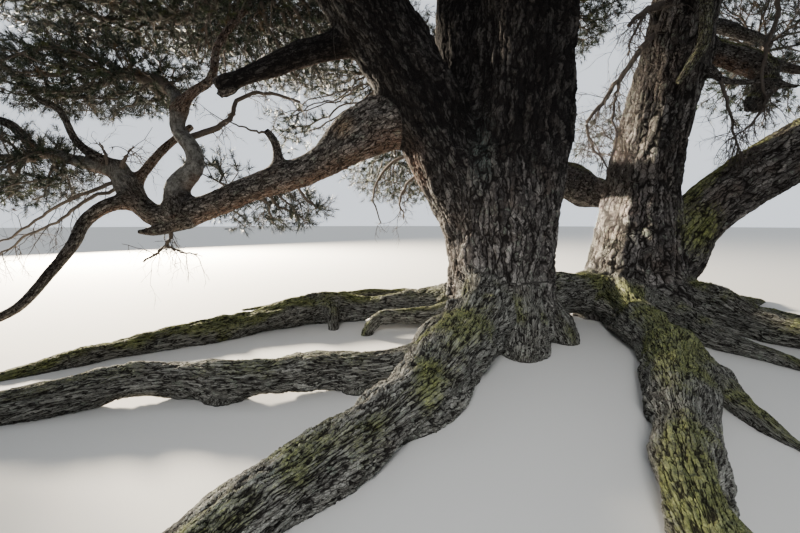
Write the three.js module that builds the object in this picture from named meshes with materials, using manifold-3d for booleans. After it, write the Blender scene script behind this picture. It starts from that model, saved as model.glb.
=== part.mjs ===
// An old, open-grown pine with several stems rising from one root, in millimetres, +Z up.
// The origin is the middle of the flat cut under the main trunk, at ground level.
// +X runs to the viewer's right and +Y away from the viewer. Nothing reaches below the ground.
import * as THREE from "three";
import { mergeVertices } from "three/addons/utils/BufferGeometryUtils.js";
import Module from "manifold-3d";

// Driving sizes
const TRUNK_RADIUS = 575; // half the width of the main trunk at breast height
const SECOND_STEM_RADIUS = 400; // the same for the second stem, which leans to the right
const GAP = 0.5; // clearance left between two pieces of wood that meet
const LEAF_GAP = 3; // clearance left round a foliage mass
const GROUND_BLOCK = 40000; // side of the block that cuts everything off at ground level

// Colours
const BARK = { color: 0x6b5f55, roughness: 0.95, metalness: 0 };
const HIGH_BARK = { color: 0x9a6a48, roughness: 0.9, metalness: 0 };
const ROOT_BARK = { color: 0x6a6a50, roughness: 0.95, metalness: 0 };
const NEEDLES = { color: 0x43542f, roughness: 0.8, metalness: 0 };

const wasm = await Module();
wasm.setup();

// Solids and meshes

function solidFrom(geometry) {
  const bare = new THREE.BufferGeometry();
  bare.setAttribute("position", geometry.getAttribute("position"));
  bare.setIndex(geometry.getIndex());
  const merged = mergeVertices(bare, 1e-3);
  return new wasm.Manifold(
    new wasm.Mesh({
      numProp: 3,
      vertProperties: new Float32Array(merged.attributes.position.array),
      triVerts: new Uint32Array(merged.index.array),
    }),
  );
}

function geometryFrom(solid) {
  const mesh = solid.getMesh();
  const geometry = new THREE.BufferGeometry();
  geometry.setAttribute("position", new THREE.BufferAttribute(mesh.vertProperties, 3));
  geometry.setIndex(new THREE.BufferAttribute(mesh.triVerts, 1));
  geometry.computeVertexNormals();
  return geometry;
}

const underground = solidFrom(
  new THREE.BoxGeometry(GROUND_BLOCK, GROUND_BLOCK, GROUND_BLOCK).translate(0, 0, -GROUND_BLOCK / 2),
);

const largestBody = (solid) =>
  solid.decompose().reduce((best, body) => (body.volume() > best.volume() ? body : best));

// Limbs: one tapering tube with a ring at each point of its course, of the radius named there

function limbCurve(course) {
  const points = course.map((p) => new THREE.Vector3(p[0], p[1], p[2]));
  return new THREE.CatmullRomCurve3(points, false, "catmullrom", 0.5);
}

function limbSolid({ course, radii, sides = 8 }, grow = 0) {
  const curve = limbCurve(course);
  const rings = course.length - 1;
  const positions = [];
  const indices = [];
  const tangent = curve.getTangent(0);
  const steep = Math.abs(tangent.z) > 0.7;
  const side = steep ? new THREE.Vector3(1, 0, 0) : new THREE.Vector3(0, 0, 1);
  for (let ring = 0; ring <= rings; ring++) {
    const t = ring / rings;
    const centre = curve.getPoint(t);
    curve.getTangent(t, tangent);
    side.addScaledVector(tangent, -side.dot(tangent)).normalize();
    const across = new THREE.Vector3().crossVectors(tangent, side);
    const radius = radii[ring] + grow;
    if (ring === 0) centre.addScaledVector(tangent, -grow);
    if (ring === rings) centre.addScaledVector(tangent, grow);
    for (let corner = 0; corner < sides; corner++) {
      const turn = (corner / sides) * 2 * Math.PI;
      const point = centre
        .clone()
        .addScaledVector(side, Math.cos(turn) * radius)
        .addScaledVector(across, Math.sin(turn) * radius);
      positions.push(point.x, point.y, point.z);
    }
  }
  for (let ring = 0; ring < rings; ring++) {
    for (let corner = 0; corner < sides; corner++) {
      const a = ring * sides + corner;
      const b = ring * sides + ((corner + 1) % sides);
      indices.push(a, b, b + sides, a, b + sides, a + sides);
    }
  }
  for (let corner = 1; corner < sides - 1; corner++) {
    const top = rings * sides;
    indices.push(0, corner + 1, corner, top, top + corner, top + corner + 1);
  }
  const geometry = new THREE.BufferGeometry();
  geometry.setAttribute("position", new THREE.Float32BufferAttribute(positions, 3));
  geometry.setIndex(indices);
  return solidFrom(geometry);
}

// The trunk, from the flat cut at ground level to where its stems part

const trunk = {
  course: [
    [0, 0, -150],
    [20, 0, 60],
    [60, 0, 350],
    [30, 0, 750],
    [10, 0, 1150],
    [0, 0, 1550],
    [-20, 20, 1950],
  ],
  radii: [0.98, 1.16, 0.99, 1, 1.02, 1.1, 1.02].map((share) => share * TRUNK_RADIUS),
  sides: 12,
};
// Buttresses that stand out of the trunk's foot
const trunkToes = [
  { course: [[-150, -250, 560], [-330, -620, 220], [-420, -850, 60]], radii: [260, 250, 190], sides: 6 },
  { course: [[80, -300, 480], [70, -560, 160], [20, -760, 20]], radii: [240, 220, 120], sides: 6 },
  { course: [[-200, 150, 500], [-520, 260, 240], [-800, 330, 100]], radii: [240, 190, 130], sides: 6 },
  { course: [[200, 200, 480], [330, 520, 200], [380, 760, 40]], radii: [260, 220, 140], sides: 6 },
];

// The woody bridge above ground that joins the second stem's swollen foot to the trunk
const bridge = {
  course: [[420, 230, 330], [850, 400, 330], [1300, 640, 330], [1800, 820, 340]],
  radii: [230, 240, 260, 320],
};

// The stems. The first three part from the trunk, and the last two rise from a common
// swollen foot beside it.

const stems = {
  stem_left: {
    endsIn: "foliage_top_left",
    course: [
      [-230, 0, 1150],
      [-670, -40, 2120],
      [-1130, -100, 2920],
      [-1530, -200, 3500],
      [-2150, -350, 4500],
      [-2700, -300, 5600],
      [-2950, 0, 6800],
      [-3050, 200, 8300],
    ],
    radii: [390, 405, 385, 370, 290, 210, 140, 80],
    sides: 9,
  },
  stem_leader: {
    endsIn: "foliage_top_leader",
    course: [
      [90, 0, 1200],
      [140, 0, 2200],
      [190, 0, 3200],
      [320, -60, 4300],
      [700, -250, 5700],
      [950, -300, 7200],
      [1180, -200, 8700],
      [1100, -150, 10250],
    ],
    radii: [560, 570, 540, 450, 340, 240, 150, 80],
    sides: 9,
  },
  stem_middle: {
    endsIn: "foliage_top_middle",
    course: [
      [-80, 180, 1300],
      [-310, 300, 2400],
      [-350, 360, 3400],
      [-380, 700, 4700],
      [-600, 1200, 6000],
      [-550, 1750, 7500],
      [-700, 2000, 9100],
    ],
    radii: [330, 345, 335, 270, 200, 140, 75],
    sides: 8,
  },
  stem_right: {
    endsIn: "foliage_top_right",
    course: [
      [2040, 860, -200],
      [2040, 880, 180],
      [2030, 900, 560],
      [2060, 900, 1150],
      [2150, 900, 2100],
      [2290, 800, 3050],
      [2380, 700, 3950],
      [2700, 500, 5300],
      [3050, 650, 6800],
      [3450, 900, 8500],
    ],
    radii: [2.35, 2.05, 1.56, 1.22, 1, 0.97, 0.92, 0.68, 0.45, 0.2].map(
      (share) => share * SECOND_STEM_RADIUS,
    ),
    sides: 9,
  },
  stem_diagonal: {
    endsIn: "foliage_east_top",
    course: [
      [2300, 880, 420],
      [2840, 850, 1290],
      [3330, 700, 1750],
      [3720, 500, 2080],
      [4600, 250, 2850],
      [5350, 0, 3850],
      [5800, -50, 5150],
    ],
    radii: [400, 340, 330, 320, 260, 180, 100],
    sides: 9,
  },
};

// The low boughs beside the trunk, as seen from the front

const lowBoughs = {
  low_bough: {
    parents: ["stem_left", "trunk"],
    course: [
      [-900, -50, 2380],
      [-1330, -20, 2260],
      [-1650, 0, 2080],
      [-2020, 100, 1850],
      [-2700, 200, 1630],
      [-3400, 200, 1370],
      [-3870, 200, 1290],
      [-4120, 250, 1440],
      [-4300, 300, 1660],
      [-4390, 300, 1900],
    ],
    radii: [290, 285, 255, 170, 143, 138, 122, 100, 128, 70],
  },
  s_bough: {
    parents: ["low_bough"],
    endsIn: "foliage_west_mid",
    course: [
      [-3620, 200, 1300],
      [-3650, 200, 1600],
      [-3450, 200, 1830],
      [-3450, 200, 2030],
      [-3600, 200, 2280],
      [-3580, 220, 2560],
      [-3850, 350, 2800],
      [-4300, 500, 2950],
    ],
    radii: [150, 130, 100, 88, 72, 66, 48, 40],
    sides: 7,
  },
  west_bough: {
    parents: ["low_bough"],
    endsIn: "foliage_west_low",
    course: [
      [-4360, 300, 1790],
      [-4790, 300, 1900],
      [-5140, 300, 2010],
      [-5420, 300, 1960],
    ],
    radii: [66, 62, 56, 46],
    sides: 6,
  },
  hanging_bough: {
    parents: ["low_bough"],
    endsIn: "foliage_front_low",
    course: [
      [-4130, 250, 1480],
      [-4400, 110, 1400],
      [-4590, 0, 1220],
      [-4570, -200, 1000],
      [-4620, -450, 720],
      [-4700, -800, 400],
      [-4950, -1100, 330],
      [-5350, -1300, 520],
    ],
    radii: [82, 74, 66, 60, 52, 44, 38, 28],
    sides: 7,
  },
  broken_bough: {
    parents: ["stem_left"],
    course: [
      [-1300, -100, 3150],
      [-1700, -150, 3020],
      [-2030, -330, 2840],
      [-2370, -520, 2580],
      [-2660, -700, 2380],
    ],
    radii: [150, 135, 122, 106, 92],
  },
  back_bough: {
    parents: ["stem_leader", "trunk"],
    endsIn: "foliage_back_low",
    course: [
      [250, 350, 1700],
      [800, 700, 1790],
      [1200, 980, 1740],
      [1700, 1400, 1610],
      [2350, 2100, 1700],
      [2900, 2900, 2150],
      [3200, 3500, 2600],
    ],
    radii: [240, 205, 200, 195, 160, 120, 80],
  },
  mossy_stub: {
    parents: ["stem_right"],
    course: [
      [2330, 760, 3300],
      [2720, 700, 3330],
      [3020, 650, 3180],
      [3150, 600, 2970],
      [3060, 560, 2790],
    ],
    radii: [140, 125, 112, 104, 84],
  },
};

// Roots that lie on the ground, from the collar or trunk to where they go under

const roots = {
  root_front_left: {
    parents: ["trunk"],
    course: [
      [-200, -350, 420],
      [-480, -1000, 260],
      [-760, -1620, 170],
      [-1000, -2040, 120],
      [-1260, -2400, 90],
      [-1520, -2760, 80],
      [-1780, -3150, 50],
      [-1950, -3600, -60],
    ],
    radii: [320, 290, 245, 200, 172, 158, 140, 90],
  },
  root_long_left: {
    parents: ["root_front_left", "trunk"],
    course: [
      [-500, -1150, 150],
      [-900, -1420, 185],
      [-1250, -1640, 180],
      [-1650, -1650, 160],
      [-2150, -1800, 150],
      [-2830, -1800, 140],
      [-3450, -2050, 90],
      [-4000, -2250, 10],
      [-4400, -2300, -80],
    ],
    radii: [100, 96, 110, 124, 118, 116, 112, 96, 60],
  },
  root_far_left: {
    parents: ["trunk"],
    course: [
      [-350, 200, 330],
      [-850, 340, 230],
      [-1350, 420, 170],
      [-1950, 420, 170],
      [-2350, 180, 150],
      [-2650, 30, 90],
      [-3150, -450, 70],
      [-3790, -970, 30],
      [-4300, -1550, -60],
    ],
    radii: [190, 160, 150, 172, 158, 124, 112, 90, 60],
  },
  root_thin_far: {
    parents: ["trunk", "root_far_left"],
    course: [
      [-250, 450, 160],
      [-600, 1500, 60],
      [-1100, 2200, 40],
      [-1900, 1950, 40],
      [-2620, 1500, 20],
      [-3300, 1000, -40],
    ],
    radii: [130, 90, 70, 70, 62, 46],
    sides: 6,
  },
  root_right_front: {
    parents: ["stem_right"],
    course: [
      [1700, 600, 260],
      [1480, 0, 200],
      [1340, -560, 160],
      [1160, -1130, 110],
      [700, -1950, 90],
      [350, -2520, 70],
      [120, -2940, 60],
      [-60, -3350, 10],
      [-160, -3700, -80],
    ],
    radii: [330, 250, 215, 195, 158, 146, 138, 118, 80],
  },
  root_right_low: {
    parents: ["root_right_front", "stem_right"],
    course: [
      [1330, -750, 90],
      [1340, -1150, 70],
      [1220, -1600, 50],
      [1110, -1980, 30],
      [1060, -2300, 0],
      [1080, -2600, -50],
    ],
    radii: [150, 140, 112, 86, 64, 50],
    sides: 7,
  },
  root_right: {
    parents: ["stem_right"],
    course: [
      [2300, 600, 260],
      [2600, 200, 170],
      [2720, -220, 110],
      [2950, -650, 80],
      [3300, -980, 40],
      [3750, -1250, -60],
    ],
    radii: [330, 260, 205, 175, 140, 90],
  },
  root_east: {
    parents: ["stem_right"],
    course: [
      [2400, 950, 260],
      [2950, 1000, 130],
      [3450, 1250, 60],
      [4000, 1350, 20],
      [4500, 1650, -60],
    ],
    radii: [300, 220, 160, 120, 70],
  },
  root_back: {
    parents: ["trunk"],
    course: [
      [150, 350, 300],
      [400, 950, 130],
      [350, 1600, 80],
      [700, 2300, 40],
      [900, 2950, -60],
    ],
    radii: [270, 210, 150, 120, 70],
  },
};

// Foliage masses: where each sits and how far it reaches from its middle along X, Y and Z.
// A lump seed makes each one uneven in its own way.

const masses = {
  foliage_west_roof: { at: [-4750, 1550, 4250], reach: [2000, 1600, 760], seed: 3 },
  foliage_west_inner: { at: [-2850, 1100, 3600], reach: [1250, 900, 850], seed: 4 },
  foliage_west_mid: { at: [-4850, 600, 2870], reach: [1300, 950, 430], seed: 5 },
  foliage_west_low: { at: [-5750, 300, 1780], reach: [1050, 950, 560], seed: 8 },
  foliage_under_bough: { at: [-2800, 950, 1380], reach: [820, 600, 290], seed: 13 },
  foliage_front_low: { at: [-5750, -1500, 800], reach: [760, 680, 470], seed: 21 },
  foliage_back_hang: { at: [-950, 3000, 2150], reach: [1200, 900, 800], seed: 34 },
  foliage_back_left: { at: [-1750, 3500, 4200], reach: [2250, 1350, 1100], seed: 55 },
  foliage_back_middle: { at: [1850, 3450, 5150], reach: [1250, 1250, 1220], seed: 89 },
  foliage_back_right: { at: [5100, 2900, 4300], reach: [1600, 1450, 930], seed: 14 },
  foliage_back_low: { at: [3500, 4000, 2850], reach: [1200, 1000, 640], seed: 23 },
  foliage_front_west: { at: [-4700, -2350, 5250], reach: [1850, 1650, 990], seed: 37 },
  foliage_front: { at: [-900, -4000, 5800], reach: [1950, 1500, 990], seed: 60 },
  foliage_front_right: { at: [2750, -3600, 5450], reach: [1850, 1500, 990], seed: 97 },
  foliage_east_low: { at: [5400, -2200, 3900], reach: [1450, 1350, 810], seed: 15 },
  foliage_east_top: { at: [6000, 0, 5350], reach: [1550, 1550, 1110], seed: 25 },
  foliage_middle_southwest: { at: [-3600, -1900, 7150], reach: [1750, 1550, 990], seed: 40 },
  foliage_middle_northwest: { at: [-3000, 2950, 6700], reach: [1850, 1550, 1040], seed: 65 },
  foliage_middle_south: { at: [700, -2800, 7750], reach: [1850, 1550, 990], seed: 17 },
  foliage_middle_east: { at: [4700, -1400, 7100], reach: [1750, 1550, 990], seed: 27 },
  foliage_middle_north: { at: [1900, 3650, 7300], reach: [1850, 1550, 1040], seed: 44 },
  foliage_top_left: { at: [-3100, 200, 8550], reach: [1950, 1750, 1110], seed: 71 },
  foliage_top_middle: { at: [-750, 2150, 9350], reach: [1850, 1650, 1110], seed: 18 },
  foliage_top_leader: { at: [1150, -250, 10450], reach: [1950, 1750, 1220], seed: 29 },
  foliage_top_right: { at: [3650, 1000, 8750], reach: [1950, 1750, 1110], seed: 47 },
};

// High boughs: the stem each leaves, how far up that stem's course from 0 to 1, and the
// mass it ends in. Its course is worked out by boughTo.

const highBoughs = {
  bough_west_roof: { stem: "stem_left", up: 0.45, into: "foliage_west_roof", radius: 150 },
  bough_front_west: { stem: "stem_left", up: 0.55, into: "foliage_front_west", radius: 130 },
  bough_middle_southwest: { stem: "stem_left", up: 0.72, into: "foliage_middle_southwest", radius: 105 },
  bough_middle_northwest: { stem: "stem_middle", up: 0.56, into: "foliage_middle_northwest", radius: 115 },
  bough_back_left: { stem: "stem_middle", up: 0.26, into: "foliage_back_left", radius: 130 },
  bough_back_middle: { stem: "stem_middle", up: 0.42, into: "foliage_back_middle", radius: 115 },
  bough_middle_north: { stem: "stem_middle", up: 0.66, into: "foliage_middle_north", radius: 110 },
  bough_front: { stem: "stem_leader", up: 0.42, into: "foliage_front", radius: 150 },
  bough_front_right: { stem: "stem_leader", up: 0.5, into: "foliage_front_right", radius: 135 },
  bough_middle_south: { stem: "stem_leader", up: 0.66, into: "foliage_middle_south", radius: 105 },
  bough_back_right: { stem: "stem_right", up: 0.6, into: "foliage_back_right", radius: 130 },
  bough_middle_east: { stem: "stem_right", up: 0.74, into: "foliage_middle_east", radius: 105 },
  bough_east_low: { stem: "stem_diagonal", up: 0.62, into: "foliage_east_low", radius: 110 },
};
const BOUGH_ARCH = 0.1; // how far a high bough bows upwards near its foot, as a share of its length
const BOUGH_WANDER = 0.07; // and how far it wanders to one side and back
const BOUGH_END = 0.45; // its tip's radius as a share of its foot's
const BOUGH_ENTRY = 0.25; // how far under the middle of its mass it aims, as a share of that mass's reach

function boughTo({ stem, up, into, radius }) {
  const foot = limbCurve(stems[stem].course).getPoint(up);
  const { at, reach } = masses[into];
  const end = new THREE.Vector3(at[0], at[1], at[2] - BOUGH_ENTRY * reach[2]);
  const along = end.clone().sub(foot);
  const length = along.length();
  const side = new THREE.Vector3(-along.y, along.x, 0).normalize();
  const point = (share, rise, sway) =>
    foot
      .clone()
      .addScaledVector(along, share)
      .addScaledVector(side, sway * BOUGH_WANDER * length)
      .add(new THREE.Vector3(0, 0, rise * BOUGH_ARCH * length))
      .toArray();
  return {
    parents: [stem],
    endsIn: into,
    course: [point(0, 0, 0), point(0.2, 0.8, 0.7), point(0.45, 1, 0.4), point(0.75, 0.1, -1), point(1, 0, 0)],
    radii: [1, 0.9, 0.78, 0.6, BOUGH_END].map((share) => share * radius),
    sides: 6,
  };
}

// A mass is a ball of many faces whose surface swells and sinks in lumps, flatter below

const LUMPS = 9;
const LUMP_DEPTH = 0.3; // how much less than its full reach a mass has between two lumps
const LUMP_WIDTH = 0.55; // how wide a lump is, in radians
const FLAT_BELOW = 0.7; // how much of its upward reach a mass has downwards

function lumpDirections(seed) {
  const directions = [];
  const goldenTurn = Math.PI * (3 - Math.sqrt(5));
  for (let i = 0; i < LUMPS; i++) {
    const z = 1 - (2 * (i + 0.5)) / LUMPS;
    const turn = goldenTurn * i * (1 + 0.11 * (seed % 7)) + seed;
    const flat = Math.sqrt(1 - z * z);
    directions.push(new THREE.Vector3(Math.cos(turn) * flat, Math.sin(turn) * flat, z));
  }
  return directions;
}

function massSolid({ at, reach, seed }, grow = 0) {
  const ball = new THREE.IcosahedronGeometry(1, 2);
  const place = ball.getAttribute("position");
  const lumps = lumpDirections(seed);
  const point = new THREE.Vector3();
  for (let i = 0; i < place.count; i++) {
    point.fromBufferAttribute(place, i).normalize();
    const nearest = Math.min(...lumps.map((lump) => lump.angleTo(point)));
    const swell = 1 - LUMP_DEPTH * Math.min(1, (nearest / LUMP_WIDTH) ** 2 / 2);
    const below = point.z < 0 ? FLAT_BELOW : 1;
    place.setXYZ(
      i,
      at[0] + point.x * (reach[0] * swell + grow),
      at[1] + point.y * (reach[1] * swell + grow),
      at[2] + point.z * (reach[2] * swell * below + grow),
    );
  }
  return solidFrom(mergeVertices(ball.deleteAttribute("normal").deleteAttribute("uv")));
}

// Putting the tree together

const tree = new THREE.Group();
tree.name = "pine_tree";

function addPiece(name, solid, look) {
  const mesh = new THREE.Mesh(geometryFrom(solid), new THREE.MeshStandardMaterial(look));
  mesh.name = name;
  tree.add(mesh);
}

const limbs = { trunk, ...stems, ...lowBoughs, ...roots };
for (const [name, bough] of Object.entries(highBoughs)) limbs[name] = boughTo(bough);

function cutAtGround(solid) {
  return solid.subtract(underground);
}

// The trunk with its buttresses, the second stem with its bridge, or any other limb alone
const joinedOn = { trunk: trunkToes, stem_right: [bridge] };

function wholeLimb(name, grow = 0) {
  const extras = joinedOn[name] ?? [];
  return extras.reduce((solid, extra) => solid.add(limbSolid(extra, grow)), limbSolid(limbs[name], grow));
}

// Each limb is cut by what it grows from, by every limb made before it, and by its mass
const made = [];
function addLimb(name, look) {
  const limb = limbs[name];
  let solid = wholeLimb(name);
  for (const other of made) solid = solid.subtract(wholeLimb(other, GAP));
  if (limb.endsIn) solid = solid.subtract(massSolid(masses[limb.endsIn], LEAF_GAP));
  addPiece(name, largestBody(cutAtGround(solid)), look);
  made.push(name);
}

addLimb("trunk", BARK);
for (const name of Object.keys(stems)) addLimb(name, BARK);
for (const name of Object.keys(lowBoughs)) addLimb(name, BARK);
for (const name of Object.keys(roots)) addLimb(name, ROOT_BARK);
for (const name of Object.keys(highBoughs)) addLimb(name, HIGH_BARK);

// Each mass is cut round the wood that runs up through it, and by the masses made before it
const madeMasses = [];
for (const [name, mass] of Object.entries(masses)) {
  let solid = massSolid(mass);
  for (const other of made) {
    if (limbs[other].endsIn !== name) solid = solid.subtract(wholeLimb(other, LEAF_GAP));
  }
  for (const other of madeMasses) solid = solid.subtract(massSolid(masses[other], LEAF_GAP));
  addPiece(name, largestBody(solid), NEEDLES);
  madeMasses.push(name);
}

export default tree;
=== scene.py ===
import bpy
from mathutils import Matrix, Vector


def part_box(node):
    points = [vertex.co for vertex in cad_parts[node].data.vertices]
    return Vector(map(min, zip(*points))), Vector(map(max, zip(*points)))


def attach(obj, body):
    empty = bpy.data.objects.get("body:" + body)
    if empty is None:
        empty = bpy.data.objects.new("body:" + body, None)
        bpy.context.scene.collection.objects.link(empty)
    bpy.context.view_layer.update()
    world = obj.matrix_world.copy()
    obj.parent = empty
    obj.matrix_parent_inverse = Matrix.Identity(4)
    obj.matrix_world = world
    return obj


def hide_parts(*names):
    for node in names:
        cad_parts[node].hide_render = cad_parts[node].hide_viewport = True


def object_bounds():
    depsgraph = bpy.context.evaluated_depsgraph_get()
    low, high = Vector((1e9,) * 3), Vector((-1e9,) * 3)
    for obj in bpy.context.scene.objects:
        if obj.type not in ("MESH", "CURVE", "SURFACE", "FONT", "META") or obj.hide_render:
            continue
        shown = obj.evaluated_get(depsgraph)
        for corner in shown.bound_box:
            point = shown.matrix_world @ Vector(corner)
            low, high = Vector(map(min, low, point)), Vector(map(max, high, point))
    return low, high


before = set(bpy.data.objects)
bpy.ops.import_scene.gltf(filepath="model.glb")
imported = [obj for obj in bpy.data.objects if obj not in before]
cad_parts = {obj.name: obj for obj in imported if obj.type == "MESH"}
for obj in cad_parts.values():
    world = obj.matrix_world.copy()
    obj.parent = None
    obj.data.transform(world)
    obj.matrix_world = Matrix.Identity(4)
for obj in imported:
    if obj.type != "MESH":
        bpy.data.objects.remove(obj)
cad_box = [list(corner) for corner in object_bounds()]

import math

import bpy
import numpy as np
from mathutils import Vector
from mathutils.bvhtree import BVHTree

# Camera, floor and light
# The eye is a low wide-angle one, close to the trunk and under the crown, tilted down a little.
# The floor is a plain pale disc at ground level. The pale surroundings are brighter ahead of the
# eye, a low warm lamp stands behind the tree on the left, and two weak lamps reach the right stem
# and the front roots.

EYE = (-1.10, -4.45, 1.22)
LENS = 18.0
SENSOR = 36.0
DOWNWARD_TILT = math.atan(44.5 / 400)

camera_data = bpy.data.cameras.new("eye")
camera_data.lens = LENS
camera_data.sensor_width = SENSOR
camera_data.clip_start = 0.05
camera_data.clip_end = 500
camera = bpy.data.objects.new("eye", camera_data)
camera.location = EYE
camera.rotation_euler = (math.pi / 2 - DOWNWARD_TILT, 0, 0)
bpy.context.scene.collection.objects.link(camera)
bpy.context.scene.camera = camera

FLOOR_RADIUS = 120
FLOOR_DROP = 0.002
bpy.ops.mesh.primitive_circle_add(
    vertices=96, radius=FLOOR_RADIUS, fill_type="NGON", location=(0, 0, -FLOOR_DROP)
)
floor = bpy.context.object
floor.name = "floor"
floor_paint = bpy.data.materials.new("floor_paint")
floor_paint.use_nodes = True
floor_shader = floor_paint.node_tree.nodes["Principled BSDF"]
floor_shader.inputs["Base Color"].default_value = (0.62, 0.61, 0.58, 1)
floor_shader.inputs["Roughness"].default_value = 0.95
floor.data.materials.append(floor_paint)

WORLD_AHEAD = 1.35
WORLD_BEHIND_EYE = 0.30
world = bpy.data.worlds.new("studio")
bpy.context.scene.world = world
world.use_nodes = True
sky = world.node_tree
around = sky.nodes.new("ShaderNodeTexCoord")
across = sky.nodes.new("ShaderNodeSeparateXYZ")
fade = sky.nodes.new("ShaderNodeMapRange")
fade.inputs["From Min"].default_value = -0.6
fade.inputs["From Max"].default_value = 0.3
fade.inputs["To Min"].default_value = WORLD_BEHIND_EYE
fade.inputs["To Max"].default_value = WORLD_AHEAD
sky.links.new(around.outputs["Generated"], across.inputs[0])
sky.links.new(across.outputs["Y"], fade.inputs["Value"])
sky.links.new(fade.outputs["Result"], sky.nodes["Background"].inputs["Strength"])
sky.nodes["Background"].inputs["Color"].default_value = (0.86, 0.92, 1.0, 1)


def soft_lamp(name, place, aim, size, power, colour, spread=math.pi):
    data = bpy.data.lights.new(name, "AREA")
    data.shape = "DISK"
    data.spread = spread
    data.size = size
    data.energy = power
    data.color = colour
    lamp = bpy.data.objects.new(name, data)
    lamp.location = place
    lamp.rotation_euler = (Vector(aim) - Vector(place)).to_track_quat("-Z", "Y").to_euler()
    lamp.visible_camera = False
    bpy.context.scene.collection.objects.link(lamp)


soft_lamp("low_sun", (-13, 11.5, 5.2), (0, 0, 2.0), 2.0, 32000, (1.0, 0.88, 0.70))
soft_lamp("stem_sun", (-15, 7.4, 3.2), (2.0, 0.9, 1.8), 1.0, 190, (1.0, 0.88, 0.70), math.radians(9))
soft_lamp("root_fill", (-2.0, -8.5, 4.2), (0.1, -1.2, 0), 2.5, 70, (0.97, 0.98, 1.0), math.radians(62))

# The limbs' courses
# Every trunk, stem, bough and root follows a smooth course through a few points, with a radius
# at each, in metres. A high bough's course is worked out from its stem and its needle mass.

STEMS = {
    "trunk": (
        [(0, 0, -0.15), (0.02, 0, 0.06), (0.06, 0, 0.35), (0.03, 0, 0.75), (0.01, 0, 1.15), (0, 0, 1.55),
         (-0.02, 0.02, 1.95)],
        [0.60, 0.64, 0.57, 0.575, 0.587, 0.62, 0.56],
    ),
    "stem_left": (
        [(-0.10, 0, 0.75), (-0.67, -0.04, 2.12), (-1.13, -0.1, 2.92), (-1.53, -0.2, 3.5), (-2.15, -0.35, 4.5),
         (-2.7, -0.3, 5.6), (-2.95, 0, 6.8), (-3.05, 0.2, 8.3)],
        [0.36, 0.405, 0.385, 0.37, 0.29, 0.21, 0.14, 0.08],
    ),
    "stem_leader": (
        [(0.05, 0, 0.62), (0.14, 0, 2.2), (0.19, 0, 3.2), (0.32, -0.06, 4.3), (0.7, -0.25, 5.7),
         (0.95, -0.3, 7.2), (1.18, -0.2, 8.7), (1.1, -0.15, 10.25)],
        [0.45, 0.56, 0.535, 0.45, 0.34, 0.24, 0.15, 0.08],
    ),
    "stem_middle": (
        [(-0.08, 0.18, 1.3), (-0.31, 0.3, 2.4), (-0.35, 0.36, 3.4), (-0.38, 0.7, 4.7), (-0.6, 1.2, 6),
         (-0.55, 1.75, 7.5), (-0.7, 2, 9.1)],
        [0.33, 0.345, 0.335, 0.27, 0.2, 0.14, 0.075],
    ),
    "stem_right": (
        [(2.04, 0.86, -0.2), (2.04, 0.88, 0.18), (2.03, 0.9, 0.56), (2.06, 0.9, 1.15), (2.15, 0.9, 2.1),
         (2.29, 0.8, 3.05), (2.38, 0.7, 3.95), (2.7, 0.5, 5.3), (3.05, 0.65, 6.8), (3.45, 0.9, 8.5)],
        [0.90, 0.80, 0.60, 0.475, 0.4, 0.388, 0.368, 0.272, 0.18, 0.08],
    ),
    "stem_diagonal": (
        [(2.3, 0.88, 0.42), (2.84, 0.85, 1.29), (3.33, 0.7, 1.75), (3.72, 0.5, 2.08), (4.6, 0.25, 2.85),
         (5.35, 0, 3.85), (5.8, -0.05, 5.15)],
        [0.4, 0.34, 0.33, 0.32, 0.26, 0.18, 0.1],
    ),
}
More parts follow.
